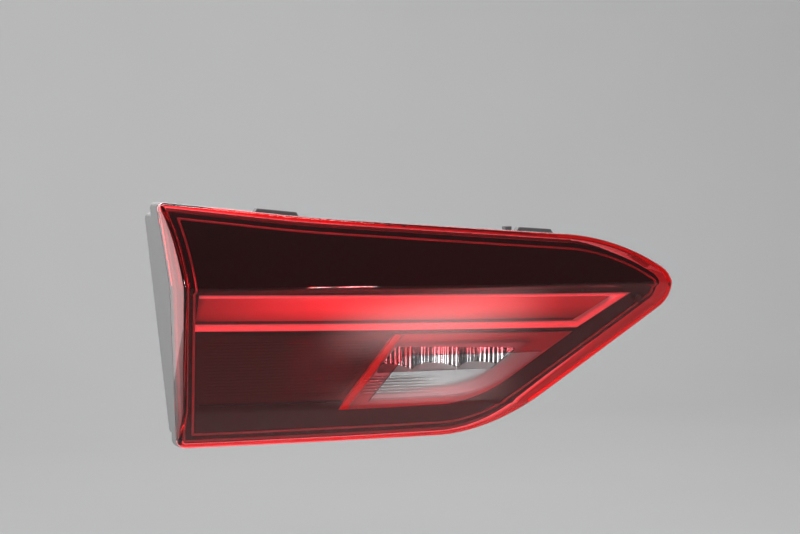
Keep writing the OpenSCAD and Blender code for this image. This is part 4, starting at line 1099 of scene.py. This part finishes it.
def softbox(name, position, aim, size, radiance, spread=180):
    """An area lamp that faces a point. Radiance is what it has with the full spread of 180 degrees."""
    lamp = bpy.data.lights.new(name, "AREA")
    lamp.shape = "RECTANGLE"
    lamp.size, lamp.size_y = size
    lamp.energy = radiance * math.pi * size[0] * size[1]
    lamp.spread = math.radians(spread)
    held = bpy.data.objects.new(name, lamp)
    bpy.context.scene.collection.objects.link(held)
    position = mathutils.Vector(position)
    held.location = position
    held.rotation_euler = (mathutils.Vector(aim) - position).to_track_quat("-Z", "Y").to_euler()
    return lamp


def soften(lamp):
    """Lets a lamp fade to its edges: strength is ((1 - u squared)(1 - v squared)) squared from its middle."""
    lamp.use_nodes = True
    tree = lamp.node_tree
    link = tree.links.new
    middle = node(tree, "ShaderNodeVectorMath", operation="MULTIPLY_ADD")
    middle.inputs[1].default_value = (2, 2, 0)
    middle.inputs[2].default_value = (-1, -1, 0)
    link(node(tree, "ShaderNodeNewGeometry").outputs["Parametric"], middle.inputs[0])
    square = node(tree, "ShaderNodeVectorMath", operation="MULTIPLY")
    link(middle.outputs[0], square.inputs[0])
    link(middle.outputs[0], square.inputs[1])
    rest = node(tree, "ShaderNodeVectorMath", operation="SUBTRACT")
    rest.inputs[0].default_value = (1, 1, 1)
    link(square.outputs[0], rest.inputs[1])
    parts = node(tree, "ShaderNodeSeparateXYZ")
    link(rest.outputs[0], parts.inputs[0])
    product = node(tree, "ShaderNodeMath", operation="MULTIPLY")
    link(parts.outputs["X"], product.inputs[0])
    link(parts.outputs["Y"], product.inputs[1])
    power = node(tree, "ShaderNodeMath", operation="POWER")
    power.inputs[1].default_value = 2
    link(product.outputs[0], power.inputs[0])
    link(power.outputs[0], tree.nodes["Emission"].inputs["Strength"])


softbox("key_left", (-1.5, -1.3, 0.0), (0, 0, -0.02), (1.3, 0.5), 1.2, 36)
softbox("front_wide", (0.37, -1.12, -0.16), (0.0, -0.08, -0.005), (0.073, 0.16), 0.6, 28)
softbox("front_narrow", (0.304, -1.15, -0.16), (0.0, -0.08, -0.005), (0.042, 0.16), 0.6, 28)
softbox("rear_left", (-0.75, 1.4, 0.0), (-0.12, -0.06, 0.0), (0.5, 1.4), 1.5)
softbox("rear_right", (1.3, 0.2, 0.45), (0.15, -0.06, 0.0), (0.8, 0.5), 1.5)
softbox("top_back", (0.1, 1.1, 0.75), (0.03, -0.05, 0.04), (1.6, 0.7), 0.75, 80)
soften(softbox("high_strip", (0.235, -0.334, -0.3), (0.235, 0.286, 0.362), (0.32, 0.06), 1.8, 90))
soften(softbox("low_strip", (0.199, -0.263, -0.307), (0.199, 0.357, 0.355), (0.26, 0.045), 0.9, 90))
softbox("backdrop_fill", (0.4, 1.0, 2.4), (1.2, 3.0, 0.4), (1.6, 1.0), 7.0)

world = bpy.data.worlds.new("studio")
world.use_nodes = True
bpy.context.scene.world = world
world.node_tree.nodes["Background"].inputs["Color"].default_value = (0.16, 0.16, 0.166, 1)
world.node_tree.nodes["Background"].inputs["Strength"].default_value = 1.0
bpy.context.scene.view_settings.view_transform = "Standard"
